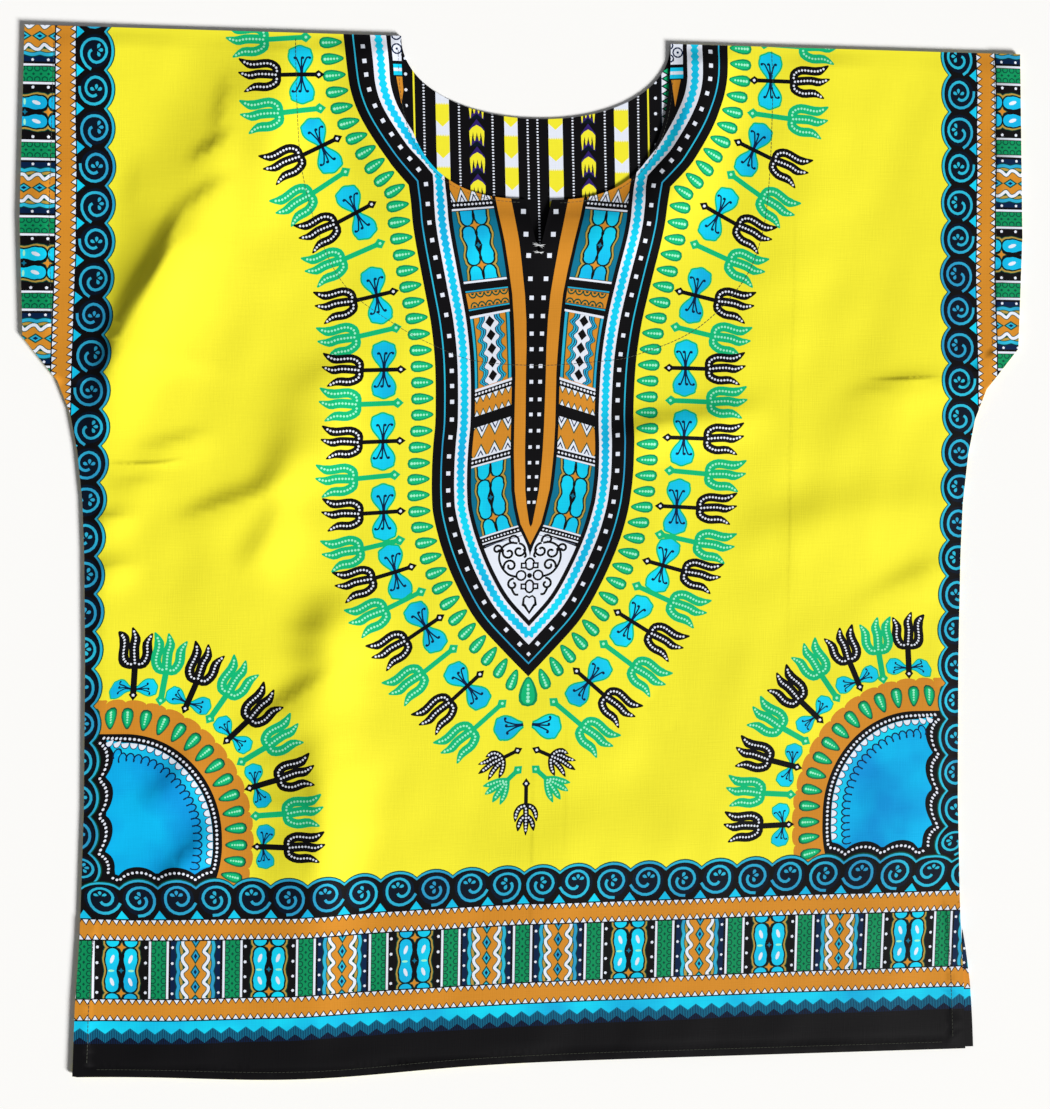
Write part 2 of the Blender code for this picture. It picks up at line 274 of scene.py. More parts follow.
# The print. Every motif is a closed outline in print millimetres: X from the shirt's middle line, Y up from
# the hem. They are painted in order, so a later one covers an earlier one.
DYES = {
    "yellow": (241, 232, 54), "orange": (207, 136, 45), "cyan": (22, 196, 236), "sky": (46, 170, 208),
    "black": (16, 15, 18), "white": (226, 232, 246), "green": (20, 184, 118), "pale": (160, 240, 205),
    "forest": (4, 76, 60), "navy": (8, 36, 70), "tan": (178, 146, 66), "blue": (10, 164, 228),
    "teal": (18, 112, 144), "midnight": (8, 24, 40), "jade": (14, 140, 88), "purple": (52, 36, 108),
    "grey": (96, 104, 128),
}
marks = []


def mark(dye, points, both=False):
    """Paints one closed outline. both paints its mirror image across the middle line as well."""
    points = np.asarray(points, float)
    marks.append((dye, points))
    if both:
        marks.append((dye, points * (-1, 1)))


def across_middle(line):
    """A line that ends on the middle line, and its mirror image back out."""
    line = np.asarray(line, float)
    return np.concatenate([line, (line * (-1, 1))[-2::-1]])


def between(a, low, high):
    """The outline of the band between two lines: out along one and back along the other."""
    return np.r_[a, a[::-1]], np.r_[0 * a + low, (0 * a + high)[::-1]]


def flowing(points, steps=4, closed=False):
    """A smooth line through points, a cubic on each span. Its slope at a point is half the step between
    that point's neighbours."""
    p = np.asarray(points, float)
    if closed:
        p = np.concatenate([p[-1:], p, p[:2]])
    else:
        p = np.concatenate([[2 * p[0] - p[1]], p, [2 * p[-1] - p[-2]]])
    t = np.linspace(0.0, 1.0, steps, endpoint=False)[None, :, None]
    a, b, c, d = p[:-3, None], p[1:-2, None], p[2:-1, None], p[3:, None]
    line = 0.5 * (2 * b + (c - a) * t + (2 * a - 5 * b + 4 * c - d) * t**2 + (3 * b - a - 3 * c + d) * t**3)
    line = line.reshape(-1, p.shape[1])
    return line if closed else np.concatenate([line, p[-2:-1]])


def beside(path, distance, closed=False):
    """A path moved to its left: each point goes along the mean normal of its two spans, mitred."""
    path = np.asarray(path, float)
    span = np.roll(path, -1, axis=0) - path
    if not closed:
        span[-1] = span[-2]
    span = span / np.maximum(np.linalg.norm(span, axis=1, keepdims=True), 1e-9)
    before = np.roll(span, 1, axis=0)
    if not closed:
        before[0] = span[0]
    normal = pairs(-(span + before)[:, 1], (span + before)[:, 0])
    length = np.maximum(np.linalg.norm(normal, axis=1, keepdims=True), 0.6)
    return path + np.reshape(distance, (-1, 1)) * normal * 2 / length**2


def ribbon(path, width):
    """The outline of a line of this width."""
    half = np.asarray(width, float) / 2
    return np.concatenate([beside(path, half), beside(path, -half)[::-1]])


def disc(x, y, radius, sides=8):
    """A many-sided disc: (x, y) plus the radius at even angles. A radius of two numbers makes it oval."""
    angle = np.linspace(0.0, 2 * np.pi, sides, endpoint=False)
    return (x, y) + pairs(np.cos(angle), np.sin(angle)) * radius


def box(x0, y0, x1, y1):
    """A rectangle."""
    return pairs([x0, x1, x1, x0], [y0, y0, y1, y1])


def walk(path, at):
    """The points of a path at these distances along it."""
    run = run_of(path)
    return pairs(np.interp(at, run, path[:, 0]), np.interp(at, run, path[:, 1]))


def along(path, pitch, start=0.0, step=0.5):
    """Places at an even pitch along a path, or at given distances, and the path's direction at each."""
    at = np.arange(start, run_of(path)[-1], pitch) if np.isscalar(pitch) else pitch
    ahead, back = walk(path, at + step), walk(path, at - step)
    return walk(path, at), np.arctan2(*(ahead - back).T[::-1])


def put(shape, x, y, angle, size=1.0):
    """A shape drawn about (0, 0), enlarged, turned by an angle in radians and moved to (x, y)."""
    c, s = np.cos(angle) * size, np.sin(angle) * size
    shape = np.asarray(shape, float)
    return pairs(x + shape[:, 0] * c - shape[:, 1] * s, y + shape[:, 0] * s + shape[:, 1] * c)


def stamp(shapes, x, y, angle, size=1.0, both=True):
    """Paints dyes and shapes that are drawn about (0, 0), each put at (x, y)."""
    for dye, shape in shapes:
        mark(dye, put(shape, x, y, angle, size), both)


def leaf(x, y, angle, size=1.0, both=True, rim=None, wide=1.0):
    """A pointed leaf with a row of pale dots. Before it is scaled it runs as -cos t, and its half width is
    sin(t)^0.85 (1 + 0.42 cos t)."""
    t = np.linspace(0.0, np.pi, 8)
    side = 3.9 * np.sin(t) ** 0.85 * (1 + 0.42 * np.cos(t)) * wide
    run = -8.3 * np.cos(t)
    edge = np.concatenate([pairs(run, side), pairs(run, -side)[-2:0:-1]])
    shapes = [(rim, edge * 1.14)] if rim else []
    shapes += [("jade", edge), ("green", edge * (0.86, 0.72))]
    shapes += [("pale", disc(k, 0.0, 0.95 - 0.04 * k, 5)) for k in (-5.2, -3.1, -1.0, 1.2, 3.4)]
    stamp(shapes, x, y, angle, size, both)


# The lines of each head's prongs, from where they leave the stem.
PRONGS = [
    [(0, 0), (0.2, 5.6), (6, 9), (17, 8.6), (22, 10), (27.5, 13.6)],
    [(0, 0), (7, 0.9), (14, 1.3), (20.5, 0.6), (28.5, 3.4)],
    [(0, 0), (0.8, -5.6), (7.5, -8.6), (16.5, -8.2), (24.5, -11.6)],
]
HAND = [
    [(0, 0), (2.2, 4.8), (6, 7.4), (12, 7.2)], [(2, 2), (7, 3.8), (12, 3.4), (20, 4.6)],
    [(0, 0), (9, 0), (16, -1.4), (23, -2.5)], [(1, -2), (6, -3.6), (12, -6.4), (18, -10.9)],
    [(0, 0), (1.8, -5), (5, -9.4), (9.5, -13.5)],
]
PLUME = [
    [(0, 0), (11, 0.2), (24.5, 0)], [(0.6, 0.5), (2, 4.8), (6.5, 7.6), (13.4, 8.6)],
    [(0.6, -0.5), (2, -4.8), (6.5, -7.6), (13.4, -8.6)], [(8.5, 0), (11.5, 3.6), (15.5, 5.4), (21, 6.4)],
    [(8.5, 0), (11.5, -3.6), (15.5, -5.4), (21, -6.4)],
]
TULIP = [
    [(0, 0), (5, 4.4), (10.5, 7.0), (16.5, 10.6)], [(0, 0), (8, 2.2), (14, 3.4), (20, 4.4)],
    [(0, 0), (8, -1.8), (14, -3.2), (20, -4.8)], [(0, 0), (5, -4.6), (10, -7.6), (17, -10.6)],
]


def trident(x, y, angle, dye, size=1.0, stem=35.0, flip=1, both=True, prongs=PRONGS, wide=None, thick=None):
    """A fork on a stem, its prongs dotted like beadwork, with its tip at (x, y)."""
    looks = {"green": ("pale", 4.1, 7.2, 3.9), "black": ("white", 3.3, 6.6, 3.1)}
    dots, bulb, usual_wide, usual_thick = looks[dye]
    shapes = [(dye, [(-0.8, 0), (3.8, bulb), (8.4 + 2 * (bulb - 3.3), 0), (3.8, -bulb)]),
              (dye, ribbon([(3, 0), (stem * 0.5, 0), (stem + 1, 0)], thick or usual_thick))]
    lines = [np.array(prong) * (1, flip) + (stem, 0.0) for prong in prongs]
    for line in lines:
        line = flowing(line, 3)
        taper = np.clip((1.02 - np.linspace(0.0, 1.0, len(line))) / 0.30, 0.0, 1.0) ** 0.7
        shapes.append((dye, ribbon(line, (wide or usual_wide) * taper)))
    for k, line in enumerate(lines):
        places, _ = along(flowing(line, 4), 2.5, 0.8 if k == len(lines) // 2 else 3.0)
        shapes += [(dots, disc(px, py, 0.98, 5)) for px, py in places[:-1]]
    stamp(shapes + [(dots, disc(3.6, 0.0, 1.25, 5))], x, y, angle, size, both)


def bell(x, y, angle, size=1.0, both=True):
    """A ruffled bell of a flower with a green rim and three hooked stamens, opening along its axis: its
    half width swells from a narrow neck and closes in a round end with five ripples."""
    s = np.array([0.0, 3.0, 5.5, 8.0, 10.5, 13.0, 15.5])
    half = np.array([2.5, 4.2, 6.3, 8.1, 9.3, 9.8, 9.5])
    turn = np.radians(np.linspace(78, -78, 23))
    reach = 1 + 0.05 * np.cos(turn * 6.0)
    cap = pairs(15.5 + 6.6 * reach * np.cos(turn), 9.3 * reach * np.sin(turn))
    edge = np.concatenate([pairs(s, half), cap, pairs(s, -half)[::-1]])
    shapes = [("green", edge), ("cyan", beside(edge[::-1], 1.25, closed=True))]
    for end, bend in ((4.6, 2.1), (0.8, 0.9), (-3.2, -1.0)):
        bent = [(0, end * 0.1), (5, end * 0.22), (9, end * 0.6), (12.5, end), (12.9, end + bend)]
        line = flowing(bent, 2)
        shapes += [("navy", ribbon(line, 1.15)), ("navy", disc(12.4, end + bend * 1.1, 1.15, 5))]
    stamp(shapes, x, y, angle, size, both)


# The yoke's edge: height and half width, from the shoulder down to the kink and on to the point.
YOKE_TOP = [(806, 148.5), (790, 147.2), (760, 145), (740, 139.7), (722, 131.2), (700, 117), (690, 108.8),
            (681, 100.5)]
YOKE_LOW = [(681, 100.5), (668, 98.6), (652, 96.9), (635, 93.8), (617, 89.8), (600, 86.1), (575, 81),
            (545, 77.5), (507, 76.5), (485, 77.6), (465, 78), (447, 77.2), (430, 75), (405, 68),
            (377, 56.3), (350, 41), (326, 20), (305, 0)]
YOKE_EDGE = np.concatenate([flowing(YOKE_TOP, 5)[:-1], flowing(YOKE_LOW, 5)])[:, ::-1]


def yoke_side(inset, edge=YOKE_EDGE):
    """The right-hand edge of the yoke moved inwards, from the top down to the middle line."""
    line = beside(edge, -np.broadcast_to(inset, len(edge)))
    last = np.argmax(line[:, 0] < 0.0) if (line[:, 0] < 0.0).any() else len(line) - 1
    a, b = line[last - 1], line[last]
    share = a[0] / (a[0] - b[0]) if a[0] > b[0] else 1.0
    return np.concatenate([line[:last], [(0.0, a[1] + (b[1] - a[1]) * share)]])


def yoke_band(dye, outer, inner, edge=YOKE_EDGE):
    """A U-shaped band between two insets of the yoke's edge."""
    out, into = across_middle(yoke_side(outer, edge)), across_middle(yoke_side(inner, edge))
    mark(dye, np.concatenate([out, into[::-1]]))


# The ring's forks from the shoulder to the point: place of each tip, and how far it leans, in degrees.
RING_FORKS = [(172, 791, 3), (163.5, 763.2, 1.5), (162.5, 738.5, 7.6), (151.2, 717.4, 25.6),
              (145.5, 693.2, 34), (125, 668.5, 28), (118, 639, 23.4), (107, 602.2, 13.2),
              (104.4, 574.9, 12.8), (100, 542.7, 1), (101.7, 517.5, 2), (99.6, 488.8, 2),
              (102.7, 463.2, 5.6), (97, 435.5, 3.8), (97.2, 414, 13.6), (88, 393.7, 17), (80.5, 375, 26),
              (66.2, 355, 33), (55.5, 331, 37.5), (35, 310.5, 42), (17.2, 287, 41)]
RAIL = 10.2  # from the yoke's edge out to the middles of the leaves round it
LEAF_HEIGHT = [300, 308, 320, 335, 350, 365, 385, 405, 420,
               560, 600, 640, 668, 680, 700, 716, 740, 768, 790]
LEAF_SLANT = [72, 63, 53, 47, 40, 30, 20, 12, 3, 2, 11, 7, 10, 34, 34, 18, 10, 4, 2]


def bells_on(x, y, axis, out=16.5, apart=0.0, spread=np.pi / 2, size=1.0):
    """A pair of bells, one to each side of a fork's stem."""
    ux, uy = np.cos(axis), np.sin(axis)
    for side in (1, -1):
        bell(x + out * ux - side * apart * uy, y + out * uy + side * apart * ux, axis + side * spread, size)


def ring_of_tridents():
    """The ring round the yoke: leaves, then forks that are black and green by turns. Each black one has a
    pair of bells on it."""
    gaps = np.repeat([12.25, 14.65, 12.25, 13.3], [11, 1, 24, 7])  # wider past the kink and near the point
    places, _ = along(beside(yoke_side(0.0), RAIL), 6.0 + np.cumsum([0.0, *gaps]))
    for px, py in places:
        leaf(px, py, np.pi + np.radians(-np.interp(py, LEAF_HEIGHT, LEAF_SLANT)), 1.06)
    leaf(0.0, 293.2, np.pi / 2, 1.42, both=False, wide=1.25)
    for k, (px, py, lean) in enumerate(RING_FORKS):
        angle = -np.radians(lean)
        if k % 2:
            bells_on(px, py, angle)
        trident(px, py, angle, "black" if k % 2 else "green")

    # the spray below its last forks
    bell(3.3, 267.5, np.radians(-9), 1.06)
    trident(4.4, 248.7, np.radians(-25), "black", 0.95, 17.0, prongs=HAND, wide=4.7)
    trident(4.3, 234.6, np.radians(-43), "green", 0.95, 16.5, prongs=TULIP, wide=5.4)
    trident(-0.4, 224.7, -np.pi / 2, "black", 0.97, 21.0, both=False, prongs=PLUME, wide=4.7)


# The inner panels of the yoke, between its striped edge and the V-shaped strip down the middle.
PANEL_WIDE = 31.0  # their width in panel millimetres, which the cloth stretches to fit
STRIP_HEIGHT = np.array([401.6, 407.6, 421.5, 423.8, 437, 450, 477, 500,
                         540, 560, 580, 600, 620, 640, 660, 690])
STRIP_OUTER = np.array([-2.0, 0.0, 6.8, 8.0, 11.2, 13.6, 15.4, 15.8,
                        15.8, 16.7, 17.8, 19.5, 22.8, 26.7, 31.5, 37.5])
STRIP_INNER = np.array([-9.0, -6.0, 0.0, 1.2, 3.5, 5.3, 6.8, 7.2,
                        7.7, 7.7, 8.3, 9.8, 12.5, 15.5, 19.5, 25.5])
STRIPES_INNER = ([640, 668, 700, 740, 770], [27.0, 27.4, 28.3, 29.8, 32.0])  # height, inset of the stripes
STRIPES_OUTER = ([640, 668, 684, 700, 740, 770], [17.2, 17.6, 19.5, 18.8, 18.6, 20.0])
PANEL_DROP = ([407, 480, 510, 535, 585, 606, 640, 690], [9.0, 8.2, 9.3, 9.6, 6.6, 4.2, 4.4, 2.4])
# Heights of the white squares down the yoke's black edge, which its maker spaced by eye.
EDGE_SQUARES = np.array([795, 784, 773, 763, 752, 740, 729, 719, 709.5, 701, 693, 682, 667, 653, 640, 627,
                        613, 599, 584, 568, 553.5, 541.5, 530, 518, 504.5, 491, 476.5, 463.5, 450.5, 439.5,
                        428.5, 416.5, 403.5, 390, 376, 364, 353, 342, 330.5])
SQUARES = [(663, 12.5), (645.5, 10.5), (629.5, 8), (612, 6), (597.5, 4.6), (583.5, 4.4), (570, 4),
           (558, 3.7), (545, 3.5), (533, 3.4), (519.5, 3.3), (508, 3.2), (495.5, 3.1), (483, 3), (471, 3),
           (460, 2.9), (450.5, 2.7), (440.5, 2.1)]


def in_panel(top):
    """Places of a yoke panel: u millimetres from its inner edge, v down from its top at that edge."""
    side = yoke_side(np.interp(YOKE_EDGE[:, 1], *STRIPES_INNER) + 2.4)[::-1]

    def place(u, v):
        u, v = np.broadcast_arrays(np.asarray(u, float), np.asarray(v, float))
        height, share = top - v, u / PANEL_WIDE
        inner = np.interp(height, STRIP_HEIGHT, STRIP_OUTER) + 2.6
        height = height - share * np.interp(height, *PANEL_DROP)
        outer = np.interp(height, side[:, 1], side[:, 0])
        return pairs(inner + share * (outer - inner), height)

    return place


def teeth(place, u0, u1, pitch, base, depth, layers=(("forest", 1.0), ("white", 0.74))):
    """A row of triangles standing on a line, one inside another: each layer's dye and its size."""
    for peak in np.arange(u0 + pitch / 2, u1, pitch):
        for dye, size in layers:
            half = pitch * size * 0.5
            mark(dye, place([peak - half, peak + half, peak], [base, base, base + depth * size]), True)


def upside_down(place, far):
    """The same places with v counted back from far."""
    return lambda u, v: place(u, far - np.asarray(v))


def upright(place, dye, v, left, right):
    """Paints the upright band between two sides."""
    mark(dye, place(*between(v, left, right)[::-1]), True)


def bars(place, *rows):
    """Straight bars across a yoke panel. Each row is a dye, how far the bar runs past the panel's sides,
    its top and its bottom."""
    for dye, over, v0, v1 in rows:
        mark(dye, place(*between(np.linspace(-over, PANEL_WIDE + over, 4), v0, v1)), True)


def dot_row(place, v, pitch, radius):
    """White dots across a yoke panel."""
    for u in np.arange(pitch / 2, PANEL_WIDE, pitch):
        mark("white", place(*disc(u, v, radius, 5).T), True)


def bead(centre, top, bottom, grow, half, lobes):
    """A string of beads: half width with a cosine waist between lobes, closed by round ends."""
    t = 0.5 - 0.5 * np.cos(np.pi * np.linspace(0.0, 1.0, 8 * lobes + 3))
    cap = np.clip(1 - np.abs(2 * t - 1) ** (3.2 * lobes), 0.0, 1.0) ** 0.5
    waist = 1.9 * (0.5 + 0.5 * np.cos(2 * np.pi * lobes * t)) * (np.abs(2 * t - 1) < 1 - 0.5 / lobes)
    width = (half - waist + grow) * cap
    v = top - grow + t * (bottom - top + 2 * grow)
    return np.concatenate([centre + width, (centre - width)[-2:0:-1]]), np.concatenate([v, v[-2:0:-1]])


def star(place, dye, u, v, radius, rim="forest"):
    """A four-pointed star with hollow sides."""
    angle = np.arange(8) * np.pi / 4
    for colour, reach in ((rim, radius * 1.35), (dye, radius)):
        r = reach * np.tile([1.0, 0.46], 4)
        mark(colour, place(u + r * np.cos(angle), v + r * np.sin(angle)), True)


def bead_panel(place, middle, wide, apart, length, half, ground, lights=False):
    """Two strings of beads side by side in a scalloped frame, with stars between them."""
    upright(place, ground, np.linspace(0.0, 1.0, 9) * length, middle - wide, middle + wide)
    cut = (0.115 if lights else 0.21) * length
    strings = [(-0.2 * length, cut, 1), (cut + 1.0, length - cut - 0.6, 2),
               (length - cut + 0.4, length * 1.2, 1)]
    for dye, grow in (("forest", 3.0), ("tan", 2.4), ("forest", 1.2), ("black", 0.9), ("cyan", 0.0)):
        if dye == "black":
            upright(place, dye, length * np.array([0, 0.5, 1]), middle - apart * 0.8, middle + apart * 0.8)
        for side in (-1, 1):
            for top, bottom, lobes in strings:
                u, v = bead(middle + side * apart, top, bottom, grow, half, lobes)
                mark(dye, place(u, np.clip(v, 0.0, length)), True)
                if not (lights and dye == "cyan" and lobes == 2):
                    continue
                a = np.linspace(0, 2 * np.pi, 8, endpoint=False)
                for at, lean in ((top + 0.24 * (bottom - top), 0.9), (top + 0.76 * (bottom - top), -0.9)):
                    u = middle + side * apart + 1.5 * np.cos(a) + lean * np.sin(a)
                    mark("white", place(u, at + 3.3 * np.sin(a)), True)
                light = disc(middle + side * (apart + 0.6), (top + bottom) / 2, (2.4, 0.9))
                mark("pale", place(*light.T), True)
    star(place, "orange", middle, cut + 0.2, 3.5)
    star(place, "orange", middle, length - cut + 0.2, 3.5)
    star(place, "teal", middle, length / 2, 2.2, "black")


def lace(v, period, narrow, wide):
    """Half width of a tiered edge: it swells once in each period, most near the period's lower end."""
    share = (v / period) % 1.0
    return narrow + (wide - narrow) * (0.5 - 0.5 * np.cos(2 * np.pi * share**1.7))


def curl(x, y, start, end, begin, turns):
    """A spiral stroke. Its radius goes from start to end while its angle, from begin in degrees, goes
    through a number of turns."""
    t = np.linspace(0.0, 1.0, 20)
    angle = np.radians(begin) + 2 * np.pi * turns * t
    radius = start + (end - start) * t**0.8
    return pairs(x + radius * np.cos(angle), y + radius * np.sin(angle))


def square(x, y, half):
    return box(x - half, y - half, x + half, y + half)


def yoke_panels():
    """The panels down each side of the yoke, from the top: teeth, beads, half rings, a tree of diamonds,
    two rows of teeth, beads, with dotted bars between them."""
    chevron = (("forest", 1.0), ("white", 0.84), ("navy", 0.52), ("white", 0.34))
    mark("black", across_middle(yoke_side(0.0)))
    first = in_panel(690)
    bars(first, ("orange", 1, 0, 18.4))
    teeth(upside_down(first, 18.2), 0, 31, 8.8, -0.2, 11.2, chevron)
    bars(first, ("black", 1, 18.2, 26.5))
    dot_row(first, 20.6, 2.7, 1.0)
    bars(first, ("white", 0, 23.4, 24.8))
    bead_panel(in_panel(664.6), 15.5, 15.5, 4.9, 51.0, 4.3, "teal")
    bars(in_panel(613.2), ("white", 0, 0.0, 1.6))
    bars(in_panel(611.5), ("black", 1, 0.0, 6.0))
    rings = in_panel(606.0)
    bars(rings, ("sky", 0, 0.0, 13.5), ("black", 0, 1.0, 12.5), ("orange", 0, 1.5, 12.0))
    a = np.linspace(0.0, np.pi, 7)
    for u in np.arange(3.1, 31, 5.6):
        for v, way in ((1.8, 1), (11.7, -1)):
            for dye, r in (("forest", 3.1), ("orange", 2.2), ("forest", 1.2)):
                mark(dye, rings(u + r * np.cos(a), v + way * 1.25 * r * np.sin(a)), True)
    bars(rings, ("black", 1, 13.5, 18.0), ("white", 0, 17.2, 18.9))

    tree = in_panel(587.0)
    length = 51.0
    v = np.unique(np.concatenate([np.arange(0.0, length + 0.1, 1.36), np.arange(8.6, length, 10.0),
                                  np.arange(10.0, length, 10.0)]))
    mark("orange", tree(*between(np.linspace(-1, 32, 9), 0, length)), True)
    for u0, u1, dye in ((-1, 0.6, "black"), (0.6, 2.6, "sky"), (2.6, 3.6, "forest"), (27.4, 28.4, "forest"),
                        (28.4, 30.4, "sky"), (30.4, 32, "black")):
        upright(tree, dye, v, u0, u1)
    for dye, grow in (("forest", 4.6), ("sky", 3.9), ("navy", 2.6), ("sky", 1.9), ("navy", 0.8),
                      ("white", 0.0)):
        w = lace(v, 10.0, 3.3, 6.6) + grow
        upright(tree, dye, v, 15.5 + w, 15.5 - w)
    for at in np.arange(4.4, length, 10.0):
        mark("black", tree([15.5, 19.1, 15.5, 11.9], [at - 4.3, at, at + 4.3, at]), True)
    bars(tree, ("white", 0, length - 0.2, length + 1.6), ("black", 1, length + 1.6, length + 8.2))
    dot_row(tree, length + 3.6, 2.8, 1.1)

    small = in_panel(529.6)
    bars(small, ("orange", 1, 0.0, 14.0))
    for place in (small, upside_down(small, 14.0)):
        teeth(place, 0, 31, 5.2, -0.4, 5.4)
    bars(small, ("black", 1, 14.0, 23.5))
    big = in_panel(506.4)
    bars(big, ("orange", 1, 0.0, 24.0))
    for place in (big, upside_down(big, 24.0)):
        teeth(place, -3, 36, 10.6, -0.3, 10.6, chevron)
    bars(big, ("white", 0, 23.6, 25.0), ("black", 1, 25.0, 30.2))
    dot_row(big, 27.4, 2.8, 1.0)
    bars(big, ("white", 0, 29.8, 31.2))
    bead_panel(in_panel(475.0), 15.5, 15.5, 5.2, 52.0, 4.5, "teal")
    low = in_panel(422.8)
    bars(low, ("white", 1, 0.0, 1.2), ("black", 1, 1.2, 5.0))
    dot_row(low, 3.2, 2.5, 0.8)
    bars(low, ("white", 1, 5.0, 6.0))


def yoke_tip():
    """The white point of the yoke: black scrolls round a four-petalled flower, and a small shield."""
    side = yoke_side(28.6)
    mark("white", across_middle([(5.0, 418.0), *side[side[:, 1] < 409]]))
    mark("grey", ribbon([(6.0, 415.2), (35.0, 407.0)], 0.5), True)
    stem = [(9.0, 382.5), (16.5, 385.0), (21.5, 390.5), (24.0, 398.0), (22.0, 405.5), (16.0, 409.2),
            (10.0, 409.0)]
    strokes = [flowing(stem), curl(8.6, 403.0, 6.0, 1.6, 88, 1.15), curl(13.6, 411.3, 5.0, 1.4, 200, -0.9),
               curl(25.5, 404.5, 4.2, 1.2, 215, -1.1), curl(16.6, 401.5, 5.2, 1.4, 35, -1.0),
               curl(15.0, 391.5, 5.6, 1.4, -20, 1.15), curl(13.0, 377.0, 4.8, 1.3, 100, -1.0),
               flowing([(14.0, 374.0), (11.5, 369.5), (8.6, 369.0)]), flowing([(5.0, 404.5), (3.2, 399.5),
               (4.6, 397.8)])]
    for stroke in strokes:
        mark("black", ribbon(stroke, 1.7), True)
    heart = 383.5
    for dx, dy, wide, high in ((0, 9.2, 4.4, 5.2), (0, -8.2, 4.2, 5.6), (6.6, 0.4, 4.4, 4.4),
                               (-6.6, 0.4, 4.4, 4.4)):
        mark("black", disc(dx, heart + dy, (wide, high), 12))
        mark("white", disc(dx, heart + dy, (wide - 1.5, high - 1.5), 12))
    for dx in (4.6, -4.6):
        for dy in (8.0, -8.2):
            mark("black", square(dx, heart + dy, 2.4))
            mark("white", square(dx, heart + dy, 1.1))
    mark("black", disc(0, 383.7, 2.0))
    shield = [(0, 353.5), (4.2, 359.5), (6.0, 360.5), (5.0, 366.5), (2.4, 368.6), (0, 367.4)]
    mark("black", across_middle(shield)[:-1])
    shield = [(0, 356.0), (2.8, 361.0), (3.9, 362.0), (3.6, 365.8), (2.2, 367.2), (0, 365.9)]
    mark("white", across_middle(shield)[:-1])


def yoke_shoulders():
    """The part of the yoke beside the neck, above the kink of its edge: discs, cross bars and a wedge."""
    side = yoke_side(28.6)
    mark("black", np.concatenate([side[side[:, 1] > 676], [(90.0, 676.0), (90.0, 806.0)]]), True)
    mark("white", box(98.0, 774.0, 112.0, 800.0), True)
    for x, y, radius in ((107.6, 783.0, 4.2), (107.6, 793.4, 4.2), (101.5, 778.6, 3.2),
                         (101.5, 788.4, 3.2)):
        mark("navy", disc(x, y, radius, 10), True)
        mark("white", disc(x, y, radius - 1.1), True)
        mark("navy", disc(x, y, 1.0, 6), True)
    for low, high, dye in ((771.6, 774.0, "black"), (768.8, 771.6, "cyan"), (766.4, 768.8, "white"),
                           (763.4, 766.4, "cyan")):
        mark(dye, box(98.0, low, 112.0, high), True)
    mark("orange", [(109.0, 762.4), (102.0, 762.4), (105.0, 742.0)], True)


def yoke_edges():
    """The striped edge of the yoke over its panels' ends: black with white squares, then white with a wavy
    cyan line, then black. Last the V-shaped strip down its middle, with a square for each step."""
    level = YOKE_EDGE[:, 1]
    outer, inner = np.interp(level, *STRIPES_OUTER), np.interp(level, *STRIPES_INNER)
    yoke_band("black", 0.0, outer + 0.3)
    yoke_band("sky", 6.5, 7.6)
    path = beside(YOKE_EDGE, -np.interp(level, [666, 690], [12.6, 13.6]))
    places, angles = along(path, np.interp(-EDGE_SQUARES, -path[:, 1], run_of(path)))
    for (px, py), angle in zip(places, angles):
        if px > 3.5:
            mark("white", put(square(0, 0, 1.55), px, py, angle), True)
    mark("white", put(square(0, 0, 1.3), 0.0, 322.5, np.pi / 4))
    yoke_band("white", outer, inner)
    middle = yoke_side((outer + inner) / 2)
    wave = np.concatenate([along(middle, 1.18)[0], middle[-1:]])
    mark("cyan", ribbon(wave, 5.2 + 1.5 * np.cos(np.pi / 2 * np.arange(len(wave)))), True)
    yoke_band("black", inner, inner + 3.2)

    height = np.concatenate([np.linspace(690, 440, 26), STRIP_HEIGHT[STRIP_HEIGHT < 438][::-1]])
    for dye, table, grow, end in (("black", STRIP_OUTER, 2.6, 398.5), ("orange", STRIP_OUTER, 0.0, 407.6),
                                  ("black", STRIP_INNER, 0.0, 421.5)):
        half = np.interp(height, STRIP_HEIGHT, table) + grow
        mark(dye, across_middle([*pairs(half, height)[half > 0], (0.0, end)]))
    for level, off in SQUARES:
        mark("white", square(off, level, np.interp(level, [440, 560, 660], [1.15, 1.5, 1.85])), True)


# The border. It is drawn in its own places (a along it, b outwards from the tops of its scallops) and laid
# along the hem or up a side: scrolls, a toothed strip, a band of panels, a second strip and a dark edge.
APEX = 317.5  # half width of the field, to the tops of the side scallops
HEM_APEX = 156.0  # height of the tops of the hem's scallops
SIDE_FOOT, SIDE_TOP = 100.0, 812.0  # the side borders' ends
HEM_REACH = 372.0  # how far the hem's border runs from the middle, past the side seams
STRIP_IN, STRIP_OUT = 32.0, 46.5  # the inner orange strip, with the band of panels beyond it
BAND_OUT, DARK_FROM = 91.7, 107.6  # the outer one
SCROLL_A = ([-80, -130, -180, -270, -360, -450, -520, -560], [12.6, 11.8, 10.9, 9.0, 9.1, 7.3, 5.4, 4.0])
SCROLL_B = ([193, 230, 270, 330, 360, 450, 540, 600, 645], [13.9, 11.9, 10.8, 9.4, 8.9, 9.7, 8.5, 5.6, 2.4])


def at_hem(a, b):
    return pairs(a, HEM_APEX - b)


def at_side(a, b):
    return pairs(APEX + np.where(b < STRIP_IN, b * 0.92, b - 2.56), a)


def scallop(a, middle, pitch):
    """The scalloped line: arcs of one radius, one over each scroll."""
    off = (a - middle + pitch / 2) % pitch - pitch / 2
    return 19.0 - np.sqrt(19.0**2 - off**2)


